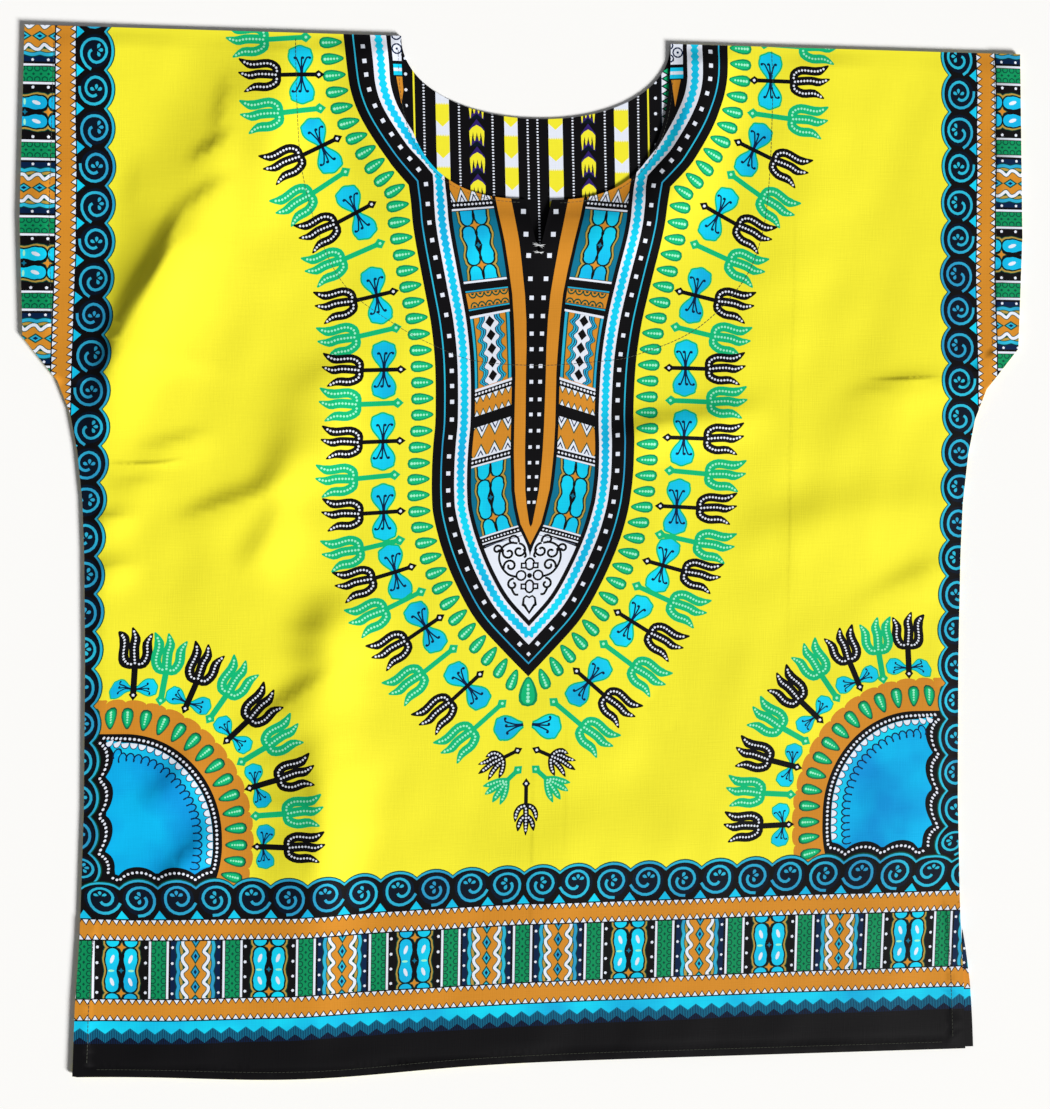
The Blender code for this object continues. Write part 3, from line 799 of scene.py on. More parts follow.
def scrolls(place, first, count, pitch):
    """The scroll band: nested scalloped lines, then in each scallop a spiral with three petals."""
    a = np.linspace(first - pitch / 2, first + (count - 0.5) * pitch, count * 8 + 1)
    for dye, into in (("forest", 0.0), ("sky", 1.0), ("black", 2.9)):
        mark(dye, place(*between(a, scallop(a, first, pitch) + into, 32.4)), True)
    petal = [(1.0, 0), (2.4, -0.95), (3.6, -1.0), (4.3, 0), (3.6, 1.0), (2.4, 0.95)]
    for k in range(count):
        x = first + k * pitch
        mark("midnight", place(*disc(x, 16.4, 12.4, 14).T), True)
        (degrees, radii), turns, hub = (SCROLL_B, (28, 90, 152), (0.6, -1.0)) if k % 2 else (
            SCROLL_A, (-62, 4, 62), (-1.4, -0.4))
        angle = np.linspace(degrees[0], degrees[-1], 25)
        radius = np.interp(np.abs(angle), np.abs(degrees), radii)
        line = pairs(radius * np.cos(np.radians(angle)), -radius * np.sin(np.radians(angle)))
        mark("sky", place(*(ribbon(line, 2.05) + (x, 16.4)).T), True)
        for turn in turns:
            mark("sky", place(*(put(petal, *hub, -np.radians(turn), 1.25) + (x, 15.9)).T), True)
        for at in [x - pitch / 2] + [x + pitch / 2] * (k == count - 1):
            mark("cyan", place(at + np.array([-5.2, 0.0, 5.2]), np.array([31.6, 25.0, 31.6])), True)


def zigzag(u0, u1, pitch, base, tip):
    """A saw-toothed line: a straight base from u0 to u1, and teeth that reach from it to tip."""
    peaks = np.arange(u0 + 0.5 * pitch, u1, pitch)
    u = np.repeat(peaks, 3) + np.tile([-pitch / 2, 0, pitch / 2], len(peaks))
    return np.clip(u, u0, u1), np.tile([base, tip, base], len(peaks))


def strip(place, start, stop, b0, b1):
    """An orange strip with a row of small white teeth in black zigzags along both edges."""
    pitch = 5.62
    t = np.linspace(start, stop, int((stop - start) / 12))
    mark("orange", place(*between(t, b0, b1)), True)
    for base, way in ((b0, 1), (b1, -1)):
        u, v = zigzag(start, stop, pitch, base + way * 0.3, base + way * 4.2)
        mark("black", place(np.r_[u, t[::-1]], np.r_[v, 0 * t + base - way * 0.9]), True)
        for peak in np.arange(start + pitch / 2, stop, pitch):
            tooth = base + way * np.array([0.0, 3.3, 0.0])
            mark("white", place(peak + np.array([-2.0, 0.0, 2.0]), tooth), True)


def band_of_panels(place, start, stop, b0):
    """The band between the strips: bead panels and lace panels by turns, a green guilloche between them."""
    length, unit, tier = 45.2, 56.2, 11.6
    ruffle = np.array([(9.8, 0.5), (9.9, 3.0), (8.6, 5.4), (7.0, 7.2), (6.4, 8.8), (8.0, 10.4)])

    def at(middle):
        """Places counted from one panel's middle and from the top of the band."""
        return lambda u, v: place(middle + np.asarray(u, float), b0 + np.asarray(v, float))

    mark("black", place(*between(np.linspace(start, stop, 20), b0, b0 + length)), True)
    for k in range(int(np.floor(start / unit)), int(np.ceil(stop / unit)) + 1):
        green, middle = k * unit, k * unit + unit / 2
        if start - 8 < green < stop + 8:
            for dye, half in (("white", 7.6), ("black", 5.9), ("jade", 5.4)):
                upright(at(green), dye, np.array([0.0, length]), -half, half)
            for b in np.arange(2.4, length, 5.6):
                for side in (-1, 1):
                    for dye, r in (("forest", 2.6), ("jade", 1.7)):
                        link = np.clip(disc(side * 4.2, b, r, 7), (-5.4, 0.0), (5.4, length))
                        mark(dye, at(green)(*link.T), True)
                if b + 2.8 < length:
                    between_links = b + 2.8 + np.array([0, -1.3, 0, 1.3])
                    mark("forest", at(green)([-1.1, 0, 1.1, 0], between_links), True)
        if not start - 20 < middle < stop + 20:
            continue
        local = at(middle)
        if k % 2:
            bead_panel(local, 0.0, 12.0, 6.9, length, 5.2, "black", lights=True)
            dots, off, radius = np.arange(5.4, length, 11.4), 18.3, 1.25
        else:
            v = np.linspace(0.0, length, 34)
            for dye, half, wave in (("navy", 18.9, 0.0), ("forest", 15.6, 1.3), ("sky", 15.0, 1.3),
                                    ("forest", 12.6, 1.3), ("tan", 12.0, 1.3), ("forest", 9.9, 1.0)):
                w = half + wave * np.abs(np.sin(np.pi * v / tier)) - wave
                upright(local, dye, v, w, -w)
            dots, off, radius = np.arange(5.4, length, tier), 17.6, 1.15
        for side in (-1, 1):
            if not k % 2:
                bend = np.concatenate([ruffle + (0.0, b) for b in np.arange(-tier, length + tier, tier)])
                line = flowing(bend[(bend[:, 1] > -3.0) & (bend[:, 1] < length + 3.0)], 2)
                inside = np.concatenate([line, [(9.6, length), (0.0, length), (0.0, 0.0)]])
                shapes = (("orange", inside), ("forest", ribbon(line, 3.5)), ("white", ribbon(line, 2.3)))
                for dye, shape in shapes:
                    mark(dye, local(side * shape[:, 0], np.clip(shape[:, 1], 0.0, length)), True)
            for b in dots:
                mark("white", local(*disc(side * off, b, radius, 5).T), True)
        if not k % 2:
            for b in np.arange(0.4, length + 6, tier):
                for dye, wide, high in (("forest", 3.8, 5.9), ("sky", 2.6, 4.2), ("navy", 1.3, 2.1)):
                    heights = np.clip([b, b + high, b, b - high], 0.0, length)
                    mark(dye, local([wide, 0, -wide, 0], heights), True)


def dark_edge(place, start, stop, b0):
    """The border's outer part: a bright band with a zigzag edge, a comb of fine lines, then black."""
    pitch = 12.6
    t = np.linspace(start, stop, 40)
    mark("black", place(*between(t, b0 - 0.5, b0 + 80)), True)
    for dye, base, tip in (("teal", b0 + 13.4, b0 + 18.0), ("cyan", b0 + 6.2, b0 + 10.8)):
        u, v = zigzag(start, stop, pitch, base, tip)
        mark(dye, place(np.r_[start, u, stop, t[::-1]], np.r_[base, v, base, 0 * t + b0]), True)
    for a in np.arange(start + 0.65, stop, 1.3):
        low = b0 + 7.0 + 4.6 * (1 - np.abs((a - start) % pitch - pitch / 2) / (pitch / 2))
        mark("navy", place(*between(np.array([a - 0.3, a + 0.3]), low, b0 + 18.6)), True)


def side_border():
    """The border up both sides, under the arm and out over the sleeves."""
    mark("black", at_side(*between(np.linspace(SIDE_FOOT, SIDE_TOP, 60), 10, 95)), True)
    scrolls(at_side, 140.0, 25, 28.2)
    band_of_panels(lambda a, b: at_side(0.9865 * a - 3.1, b), 536.0, 831.0, STRIP_OUT)
    strip(at_side, SIDE_FOOT, SIDE_TOP, STRIP_IN, STRIP_OUT)


def hem_border():
    """The border along the hem, from its middle to past both side seams."""
    mark("black", at_hem(*between(np.linspace(0.0, HEM_REACH, 40), 8, 95)), True)
    scrolls(at_hem, 13.95, 13, 27.9)
    band_of_panels(at_hem, 0.0, HEM_REACH, STRIP_OUT)
    dark_edge(at_hem, 0.0, HEM_REACH, DARK_FROM)
    strip(at_hem, 0.0, HEM_REACH, STRIP_IN, STRIP_OUT)
    strip(at_hem, 0.0, HEM_REACH, BAND_OUT, DARK_FROM)


# Each fork of the corner flower: its tip, and how far it leans from upright, in degrees.
CORNER_FORKS = [(296, 294, 2), (276.7, 290, 9), (259.5, 284, 22), (242, 276, 34), (229.5, 259.5, 45.5),
                (219, 243.5, 58.5), (213, 224, 73), (208.6, 203.3, 85), (207.5, 180, 91)]


def rosettes():
    """The quarter flower in each lower corner: blue field, dotted frame, orange rim with leaves, nine
    forks. Its arcs are parts of ellipses, a little taller than wide, and run out level to the side."""
    cx, cy = 301.0, 185.0
    level_from, level_to = 302.0, 338.0
    lift = 7.2  # the arcs' outer ends are printed this much higher, which the pull of the side takes up
    arc = np.radians(np.linspace(90, 214, 60))

    def round_at(wide, high):
        end = [(level_to, cy + high + lift), (318.0, cy + high + lift), (level_from, cy + high)]
        return np.concatenate([end, pairs(cx + wide * np.cos(arc), cy + high * np.sin(arc))])

    def set_along(line, pitch, start, reach=level_to):
        """Places along an arc as far out as reach, those on its level outer end all upright."""
        places, angles = along(line, pitch, start)
        angles = np.where(places[:, 0] > level_from, np.pi, angles)
        return [(px, py, angle) for (px, py), angle in zip(places, angles) if px < reach]

    rim = round_at(90.3, 104.5)
    mark("orange", np.concatenate([rim, [(240.0, 120.0), (level_to, 120.0)]]), True)
    for (px, py), angle in zip(*along(rim, 14.6, 2.0)):
        if py > 128:
            mark("orange", put(disc(0, 0, (7.6, 2.9), 12), px, py, angle), True)
    for px, py, angle in set_along(round_at(80.3, 93.2), 12.6, 2.2):
        if py > 134:
            leaf(px, py, angle + np.pi / 2, 0.88, rim="forest", wide=1.04)
    mark("black", np.concatenate([round_at(70.0, 81.5), [(250.0, 120.0), (level_to, 120.0)]]), True)

    # the wavy inner sides of the frame follow the scallops of the border
    a = np.linspace(152.0, 274.0, 50)
    wall = at_side(a, scallop(a, 140.0, 28.2))
    a = np.linspace(236.0, 322.0, 40)
    sill = at_hem(a, scallop(a, 13.95, 27.9))

    def field(inset, back):
        """The field's three sides: the arc moved in by back, the sill and the wall moved in by inset."""
        top = cy + 81.5 + lift - back
        in_wall, in_sill = wall - (inset, 0.0), sill + (0.0, inset)
        in_wall = in_wall[(in_wall[:, 1] > HEM_APEX + inset - 1.0) & (in_wall[:, 1] < top)]
        in_sill = in_sill[in_sill[:, 0] < APEX - inset + 1.0]
        curve = round_at(70.0 - back, 81.5 - back)
        curve = np.concatenate([[(in_wall[-1, 0], top)], curve[curve[:, 0] < in_wall[-1, 0]]])
        curve = curve[curve[:, 1] > np.interp(curve[:, 0], *in_sill.T)]
        return curve, in_sill[in_sill[:, 0] > curve[-1, 0]], in_wall

    mark("blue", np.concatenate(field(9.0, 6.6)), True)
    mark("cyan", np.concatenate([field(9.0, 6.6)[0], field(9.0, 18.6)[0][::-1]]), True)
    t = np.linspace(0.0, np.pi, 8)
    loop = pairs(2.95 * np.cos(t), 4.4 - 4.4 * np.sin(t))
    for place in set_along(field(10.5, 14.4)[0], 5.9, 3.2, 312.0):
        stamp([("blue", loop), ("navy", ribbon([(2.5, 6.4), *loop, (-2.5, 6.4)], 1.05))], *place)
    for place in set_along(field(8.6, 6.8)[0], 6.2, 3.2, 315.0):
        stamp([(dye, pairs(wide * np.cos(t), high * np.sin(t)))
               for dye, wide, high in (("navy", 3.1, 4.6), ("white", 2.6, 3.9))], *place)
    for line in field(4.6, 3.6):
        for px, py in along(line, 3.3, 1.2)[0]:
            mark("white", disc(px, py, 1.12, 6), True)

    for k, (px, py, lean) in enumerate(CORNER_FORKS):
        turn = np.radians(90 + lean)
        px, py = px - 1.6 * np.cos(turn), py - 1.6 * np.sin(turn)
        if k % 2 == 0:
            bells_on(px, py, turn, 8.0, 1.6, np.pi / 2 * 0.88, 0.72)
        trident(px, py, turn, "green" if k % 2 else "black", 0.96, 28.0, -1, wide=7.6, thick=4.6)


# The cloth was pulled about as it was laid down, and its borders were printed a little off its middle. For
# some heights, how far it went up at each place across.
PULL_ACROSS = [-361, -345, -318, -302, -266, -180, -100, 0, 110, 215, 302, 318, 345, 361]
PULL_UP = {
    88: [-4.5, -4.5, -5.3, -6, -7, -7, -4, -1, 0.5, 2.2, 2.7, 2.8, 3, 3],
    140: [-1, -1, -2, -3.2, -3.5, -4, -0.5, 3, 3.5, 5, 5.7, 5.8, 6, 6],
    180: [-9.5, -9.5, -10, -3.8, -4.3, -4.5, -3, 0, 3.3, 5.4, 7, -1, -1, -1],
    300: [-10, -10, -10, -2.5, -3, -2, -3, 0, 2.5, 9, 9, 2, 2, 2],
    430: [-9, -9, -9.2, -0.8, -1.5, -2.5, -2.3, -0.5, 2.3, 3.5, 3.8, 2.9, 3, 3],
    540: [-17.8, -12.2, -12.2, -4, -4, -3, -1.7, -0.5, 1.7, 1, 0.3, 1.2, 1.2, 1],
    620: [-17.8, -13.8, -13.5, -7, -6.5, -3, -1.5, -1.2, 1.6, 2.6, 1.9, 0.2, 0, 1],
    690: [-17.8, -15.5, -15.2, -7.5, -6.5, -3, -1.5, -1.2, 1.6, 2.6, 1.9, -1.1, -1.3, 1],
}
DRIFT_HEIGHT = [0, 88, 140, 180, 300, 391, 414, 435, 460, 500,
                540, 575, 600, 640, 660, 681, 690, 700, 740, 765, 790]
DRIFT = [-8, -7.3, -6.5, -5, -3.9, -3.3, -2.8, -2.5, -1.3, -0.1,
         0.5, 1.1, 1.5, 2.3, 2.6, 2.9, 3.4, 3.8, 2, 2, 0.5]
LEFT_IN = ([250, 340, 380, 440, 500, 640, 760], [-1, 0.5, 1.2, 1, 2.6, 4.2, 2.9])  # how far each moved in
RIGHT_IN = ([170, 200, 330, 500, 545, 620, 760], [0, 1, 2, 0, 1, 3, 2])


def to_cloth(points):
    """Print millimetres to cloth metres. The middle of the print drifts sideways with height, and its
    sides spread a little above the hem's border. PULL_UP is blended between its heights."""
    x, y = points[:, 0], points[:, 1]
    side = x / 325
    inwards = np.where(x < 0, np.interp(y, *LEFT_IN), -np.interp(y, *RIGHT_IN)) * side**2
    hold = np.interp(y, [88, 180], [0.25, 0.65])
    moved = x + np.interp(y, DRIFT_HEIGHT, DRIFT) * (1 - hold * np.minimum(side**2, 1.0)) + inwards
    moved = moved + 15 * (1 - y / 790) * side**3 * np.clip((y - 110) / 75, 0.0, 1.0)
    rows = np.array([np.interp(x, PULL_ACROSS, row) for row in PULL_UP.values()])
    step = np.interp(y, list(PULL_UP), range(len(PULL_UP)))
    low = np.minimum(step.astype(int), len(PULL_UP) - 2)
    column = np.arange(len(x))
    pull = rows[low, column] * (1 - step + low) + rows[low + 1, column] * (step - low)
    return pairs(moved, y + pull) / 1000


def covered(points, shape):
    """True for each point that a closed shape winds round. The winding number counts the edges that pass it
    on the right, upwards as +1 and downwards as -1."""
    a, b = shape, np.roll(shape, -1, axis=0)
    inside = []
    for part in np.array_split(points, len(points) * len(shape) // 2000000 + 1):
        x, y = part[:, :1], part[:, 1:]
        side = (b[:, 0] - a[:, 0]) * (y - a[:, 1]) - (x - a[:, 0]) * (b[:, 1] - a[:, 1])
        up = (a[:, 1] <= y) & (b[:, 1] > y) & (side > 0)
        down = (b[:, 1] <= y) & (a[:, 1] > y) & (side < 0)
        inside.append(up.sum(axis=1) != down.sum(axis=1))
    return np.concatenate(inside)


def dyed(points, shapes, dyes):
    """The dye at each point: that of the last shape that covers it, or -1 outside shape 0, the cloth."""
    order = np.argsort(points[:, 0])
    sorted_x = points[order, 0]
    found = np.full(len(points), -1)
    for number, (shape, dye) in enumerate(zip(shapes, dyes)):
        low, high = shape.min(axis=0), shape.max(axis=0)
        near = order[np.searchsorted(sorted_x, low[0]):np.searchsorted(sorted_x, high[0])]
        near = near[(points[near, 1] >= low[1]) & (points[near, 1] <= high[1])]
        if number:
            near = near[found[near] >= 0]
        if len(near):
            found[near[covered(points[near], shape)]] = dye
    return found


def triangulate(points, edges):
    """Triangles between all the points that keep every edge (constrained Delaunay)."""
    places = [Vector(p) for p in points]
    found = delaunay_2d_cdt(places, [tuple(e) for e in edges.tolist()], [], 0, 1e-7, True)
    return np.array([v[:] for v in found[0]]), np.array(found[2])


def sides_of(triangles):
    """The three sides of each triangle, as pairs of points with the lower number first."""
    return np.sort(np.concatenate([triangles[:, ends] for ends in ([0, 1], [1, 2], [2, 0])]), axis=1)


def edges_of(triangles, dye):
    """Each edge between two dyes or at the cloth's own edge, as pairs of points."""
    ends, sides = sides_of(triangles), np.tile(dye, 3)
    order = np.lexsort((ends[:, 1], ends[:, 0]))
    ends, sides = ends[order], sides[order]
    first = np.flatnonzero((ends[1:] == ends[:-1]).all(axis=1))
    return ends[first[sides[first] != sides[first + 1]]]


def straightened(points, edges, slack):
    """Drops each point that only two edges share and that lies within the slack of a straight line between
    its neighbours, in a few rounds that never drop two neighbours at once."""
    for _ in range(4):
        count = np.bincount(edges.ravel(), minlength=len(points))
        order = np.argsort(np.concatenate([edges[:, 0], edges[:, 1]]), kind="stable")
        other = np.concatenate([edges[:, 1], edges[:, 0]])[order]
        start = np.concatenate([[0], np.cumsum(count)[:-1]])
        middle = np.flatnonzero(count == 2)
        a, b = other[start[middle]], other[start[middle] + 1]
        span = points[b] - points[a]
        way = points[middle] - points[a]
        off = span[:, 0] * way[:, 1] - span[:, 1] * way[:, 0]
        length = np.hypot(span[:, 0], span[:, 1])
        straight = (np.abs(off) < slack * length) & (length > 1e-5) & (length < 0.012)
        drop = np.zeros(len(points), bool)
        drop[middle[straight]] = True
        keep = drop[a] | drop[b]
        drop[middle[straight & keep & (middle % 2 == 0)]] = False
        chosen = drop[middle] & ~drop[a] & ~drop[b]
        gone = np.zeros(len(points), bool)
        gone[middle[chosen]] = True
        edges = np.concatenate([edges[~gone[edges].any(axis=1)], pairs(a[chosen], b[chosen])])
    return edges


def loose_grid(outline, spacing):
    """Points on a grid of nearly even triangles, over the whole of an outline's box."""
    low, high = outline.min(axis=0), outline.max(axis=0)
    x, y = np.meshgrid(np.arange(low[0], high[0], spacing), np.arange(low[1], high[1], spacing * 0.87))
    x = x + spacing / 2 * (np.arange(len(x)) % 2)[:, None]
    return pairs(x.ravel(), y.ravel())


def cut_cloth(outline, spacing, extra=()):
    """Cuts the cloth's outline (metres) into triangles along every printed edge, with a grid of loose
    points. The first cut takes every outline, and the second keeps only those edges that show."""
    low, high = outline.min(axis=0), outline.max(axis=0)
    jitter = np.random.default_rng(1)  # a few thousandths of a millimetre, so that no two edges share a line
    shapes, dyes = [outline], [list(DYES).index("yellow")]
    for dye, points in marks:
        place = to_cloth(points) + jitter.uniform(-4e-6, 4e-6, points.shape)
        if (place.max(axis=0) >= low).all() and (place.min(axis=0) <= high).all():
            shapes.append(place)
            dyes.append(list(DYES).index(dye))
    counts = np.cumsum([0] + [len(shape) for shape in shapes])
    rim = np.arange(counts[-1])
    after = rim + 1
    after[counts[1:] - 1] = counts[:-1]
    points, triangles = triangulate(np.concatenate(shapes), pairs(rim, after))
    dye = dyed(points[triangles].mean(axis=1), shapes, dyes)
    edges = straightened(points, edges_of(triangles, dye), 2.5e-5)
    used, edges = np.unique(edges, return_inverse=True)
    printed = points[used]

    def cell(at):
        return np.floor((at - low) / spacing).astype(int) @ (10000, 1)

    loose = loose_grid(outline, spacing)
    loose = loose[~np.isin(cell(loose), cell(printed))]
    verts, triangles = triangulate(np.concatenate([printed, loose, *extra]), edges.reshape(-1, 2))
    dye = dyed(verts[triangles].mean(axis=1), shapes, dyes)
    used, index = np.unique(triangles[dye >= 0], return_inverse=True)
    return verts[used], index.reshape(-1, 3), dye[dye >= 0]


def rim_order(points, outline):
    """How far along a closed outline each point lies, at the nearest of its straight pieces, and how far
    off it."""
    step = np.roll(outline, -1, axis=0) - outline
    length = np.hypot(step[:, 0], step[:, 1])
    way = np.concatenate([[0.0], np.cumsum(length)[:-1]])
    part = np.clip(((points[:, None] - outline) * step).sum(axis=2) / length**2, 0.0, 1.0)
    off = np.linalg.norm(points[:, None] - outline - part[..., None] * step, axis=2)
    near = off.argmin(axis=1)
    row = np.arange(len(points))
    return way[near] + part[row, near] * length[near], off[row, near]


def plain_cut(outline, spacing):
    """The unprinted side of a panel: a coarse grid inside its outline."""
    loose = loose_grid(outline, spacing)
    loose = loose[covered(loose, outline)]
    loose = loose[rim_order(loose, outline)[1] > spacing * 0.35]
    rim = np.arange(len(outline))
    points, triangles = triangulate(np.concatenate([outline, loose]), pairs(rim, np.roll(rim, -1)))
    triangles = triangles[covered(points[triangles].mean(axis=1), outline)]
    return points, triangles, np.full(len(triangles), list(DYES).index("yellow"))


def rim_points(points, triangles, outline):
    """The points on the cut edge, in order along the outline, with their distances along it."""
    keys, count = np.unique(sides_of(triangles), axis=0, return_counts=True)
    rim = np.unique(keys[count == 1])
    way, _ = rim_order(points[rim], outline)
    order = np.argsort(way, kind="stable")
    return rim[order], way[order]


def panel(name, outline, upper, lower, top, under, places):
    """A closed sheet: an upper and a lower face, each cut in its own way, and a wall round the edge that
    zips their rims together. top and under give the faces' heights, and places gives the map."""
    (up_xy, up_faces, up_dye), (low_xy, low_faces, low_dye) = upper, lower
    first = len(up_xy)
    xyz = np.column_stack([np.concatenate([up_xy, low_xy]), np.append(top(*up_xy.T), under(*low_xy.T))])
    up_rim, up_way = rim_points(up_xy, up_faces, outline)
    low_rim, low_way = rim_points(low_xy, low_faces, outline)
    whole = np.hypot(*(np.roll(outline, -1, axis=0) - outline).T).sum()
    up_to, low_to = np.append(up_way[1:], up_way[0] + whole), np.append(low_way[1:], low_way[0] + whole)
    beside_up = low_rim[(np.searchsorted(low_way, up_to, "left") - 1) % len(low_rim)]
    beside_low = up_rim[(np.searchsorted(up_way, low_to, "right") - 1) % len(up_rim)]
    wall_a = np.stack([up_rim, beside_up + first, np.roll(up_rim, -1)], axis=1)
    wall_b = np.stack([low_rim + first, np.roll(low_rim, -1) + first, beside_low], axis=1)
    faces = np.concatenate([up_faces, low_faces[:, ::-1] + first, wall_a, wall_b])

    mesh = bpy.data.meshes.new(name)
    mesh.vertices.add(len(xyz))
    mesh.vertices.foreach_set("co", (xyz - (0.0, CENTRE_Y, 0.0)).astype(np.float32).ravel())
    mesh.loops.add(faces.size)
    mesh.loops.foreach_set("vertex_index", faces.ravel().astype(np.int32))
    mesh.polygons.add(len(faces))
    mesh.polygons.foreach_set("loop_start", np.arange(0, faces.size, 3, dtype=np.int32))
    mesh.polygons.foreach_set("loop_total", np.full(len(faces), 3, np.int32))
    mesh.update(calc_edges=True)

    # the wall takes the dye of the face that it hangs from
    colours = (np.array(list(DYES.values())) / 255.0) ** 2.2
    rim_dye = np.zeros(first, int)
    rim_dye[up_faces.ravel()] = np.repeat(up_dye, 3)
    dye = np.concatenate([up_dye, low_dye, rim_dye[up_rim], rim_dye[beside_low]])
    shade = np.column_stack([colours[dye], np.ones(len(dye))]).repeat(3, axis=0)
    layer = mesh.color_attributes.new("dye", "FLOAT_COLOR", "CORNER")
    layer.data.foreach_set("color", shade.astype(np.float32).ravel())

    # smooth normals on both faces, and flat ones on the wall
    corner = xyz[faces.ravel()]
    up_end, face_end = up_faces.size, up_faces.size + low_faces.size
    normals = np.zeros((faces.size, 3))
    normals[:up_end] = tilt(top, *up_xy.T)[up_faces.ravel()]
    normals[up_end:face_end] = -tilt(under, *low_xy.T)[low_faces[:, ::-1].ravel()]
    a, b, c = corner[face_end:].reshape(-1, 3, 3).swapaxes(0, 1)
    outward = np.cross(b - a, c - a)
    outward /= np.maximum(np.linalg.norm(outward, axis=1, keepdims=True), 1e-12)
    normals[face_end:] = outward.repeat(3, axis=0)

    # its own map: the upper face, the lower face and the wall each in their own part of the square
    uv = np.zeros((faces.size, 2))
    middles = corner[:face_end].reshape(-1, 3, 3).mean(axis=1).repeat(3, axis=0)
    uv[:face_end] = places(corner[:face_end], np.arange(face_end) < up_end, middles)
    wall_u = [np.tile([0.998, 0.993, 0.998], len(up_rim)), np.tile([0.993, 0.993, 0.998], len(low_rim))]
    wall_v = [np.stack([up_way, (up_way + up_to) / 2, up_to], axis=1).ravel(),
              np.stack([low_way, low_to, (low_way + low_to) / 2], axis=1).ravel()]
    uv[face_end:] = pairs(np.concatenate(wall_u), np.clip(np.concatenate(wall_v) / whole, 0.0, 1.0))
    chart = mesh.uv_layers.new(name="OFBake")
    chart.data.foreach_set("uv", uv.astype(np.float32).ravel())
    mesh.normals_split_custom_set(normals.tolist())
    mesh.validate()
    return placed(name, mesh)


# How deep each edge is turned in and sewn down, and how much thicker it is there.
SLEEVE_HEM, VENT_HEM, BOTTOM_HEM = 0.020, 0.012, 0.007
HEM_THICK = 0.0005
HEM_STEP = 0.0015  # it steps down over this far


def hems(x, y):
    """Extra thickness within the depth of each turned edge."""
    deep = np.where(y > 0.53, SLEEVE_HEM, np.where(y < VENT_TOP + 0.012, VENT_HEM, -0.01))
    step = np.maximum(deep - half_width(y) + np.abs(x), BOTTOM_HEM - y + hem_height(x)) / HEM_STEP
    return HEM_THICK * np.clip(step + 0.5, 0.0, 1.0)


def crease_points():
    """Rows of points along every crease and hem that is too narrow for the loose grid."""
    rows = []
    for fold in FOLDS:
        crest = np.array(fold, float) / 1000
        if crest[:, 3].max() <= 0.004:
            line, _ = along(crest[:, :2], 0.005)
            rows += [beside(line, offset) for offset in (0.0035, 0.002, 0.0012, 0.0004, -0.0012)]
    height = np.arange(0.012, 0.118, 0.005)
    sleeve = np.arange(0.566, 0.785, 0.005)
    across = np.arange(-0.34, 0.34, 0.005)
    for more in (-0.0008, 0.0008):
        for sign in (-1, 1):
            rows.append(pairs(sign * (half_width(height) - VENT_HEM + more), height))
            rows.append(pairs(sign * (half_width(sleeve) - SLEEVE_HEM + more), sleeve))
        rows.append(pairs(across, hem_height(across) + BOTTOM_HEM + more))
    return rows


def front_top(x, y):
    return front_lies(x, y) + CLOTH + hems(x, y)


def on_square(xyz):
    """Where each point falls on the texture square when the shirt's whole width and length fill it."""
    return (xyz[:, 0] + 0.388) / 0.776, (xyz[:, 1] + 0.009) / 0.801


def front_places(xyz, is_upper, middle):
    """The front's map: the printed face over nearly all of the square, the plain one in a narrow column."""
    u, v = on_square(xyz)
    return pairs(np.where(is_upper, 0.955 * u, 0.96 + 0.03 * u), v)


def add_node(material, kind, inputs, **settings):
    """Adds a shader node with its settings. Each input gets a value or another node's output."""
    tree = material.node_tree
    node = tree.nodes["Principled BSDF"] if kind == "Surface" else tree.nodes.new("ShaderNode" + kind)
    for name, value in settings.items():
        setattr(node, name, value)
    for name, value in inputs.items():
        if isinstance(value, bpy.types.NodeSocket):
            tree.links.new(value, node.inputs[name])
        else:
            node.inputs[name].default_value = value
    return node.outputs


def printed_cotton(name):
    """Cotton dyed right through: the print's own colours, thread streaks both ways, a fine plain weave."""
    cotton = bpy.data.materials.new(name)
    cotton.use_nodes = True
    dye = add_node(cotton, "VertexColor", {}, layer_name="dye")["Color"]
    place = add_node(cotton, "TexCoord", {})["Object"]

    def threads(stretch, detail):
        turned = add_node(cotton, "Mapping", {"Vector": place, "Scale": stretch})["Vector"]
        return add_node(cotton, "TexNoise", {"Vector": turned, "Scale": 1.0, "Detail": detail})["Fac"]

    def worked(operation, a, b):
        return add_node(cotton, "Math", {0: a, 1: b}, operation=operation)[0]

    def ranged(value, low, high, to_low=0.0, to_high=1.0):
        inputs = {"Value": value, "From Min": low, "From Max": high, "To Min": to_low, "To Max": to_high}
        return add_node(cotton, "MapRange", inputs)["Result"]

    streaks = worked("ADD", threads((60, 1600, 60), 1), threads((1600, 60, 60), 1))
    spread = ranged(worked("ADD", streaks, threads((14, 14, 14), 4)), 0.9, 2.1, 0.965, 1.03)
    # the blues took the dye unevenly: patches of them are greener and paler
    apart = add_node(cotton, "SeparateColor", {"Color": dye})
    how_blue = ranged(worked("SUBTRACT", apart["Blue"], apart["Red"]), 0.3, 0.6)
    patchy = ranged(threads((17, 17, 17), 3), 0.36, 0.64, -1.0)
    tint = add_node(cotton, "VectorMath", {0: worked("MULTIPLY", how_blue, patchy), 1: (0.0, 0.24, 0.11),
                                           2: (1.0, 1.0, 1.0)}, operation="MULTIPLY_ADD")["Vector"]
    stained = add_node(cotton, "VectorMath", {0: dye, 1: tint}, operation="MULTIPLY")["Vector"]
    toned = add_node(cotton, "VectorMath", {0: stained, "Scale": spread}, operation="SCALE")["Vector"]
    weave = add_node(cotton, "Bump", {"Strength": 0.14, "Distance": 0.0004, "Height": streaks})["Normal"]
    add_node(cotton, "Surface", {"Base Color": toned, "Normal": weave, "Roughness": 0.62,
             "Specular IOR Level": 0.09, "Sheen Weight": 0.02, "Sheen Roughness": 0.45})
    return cotton


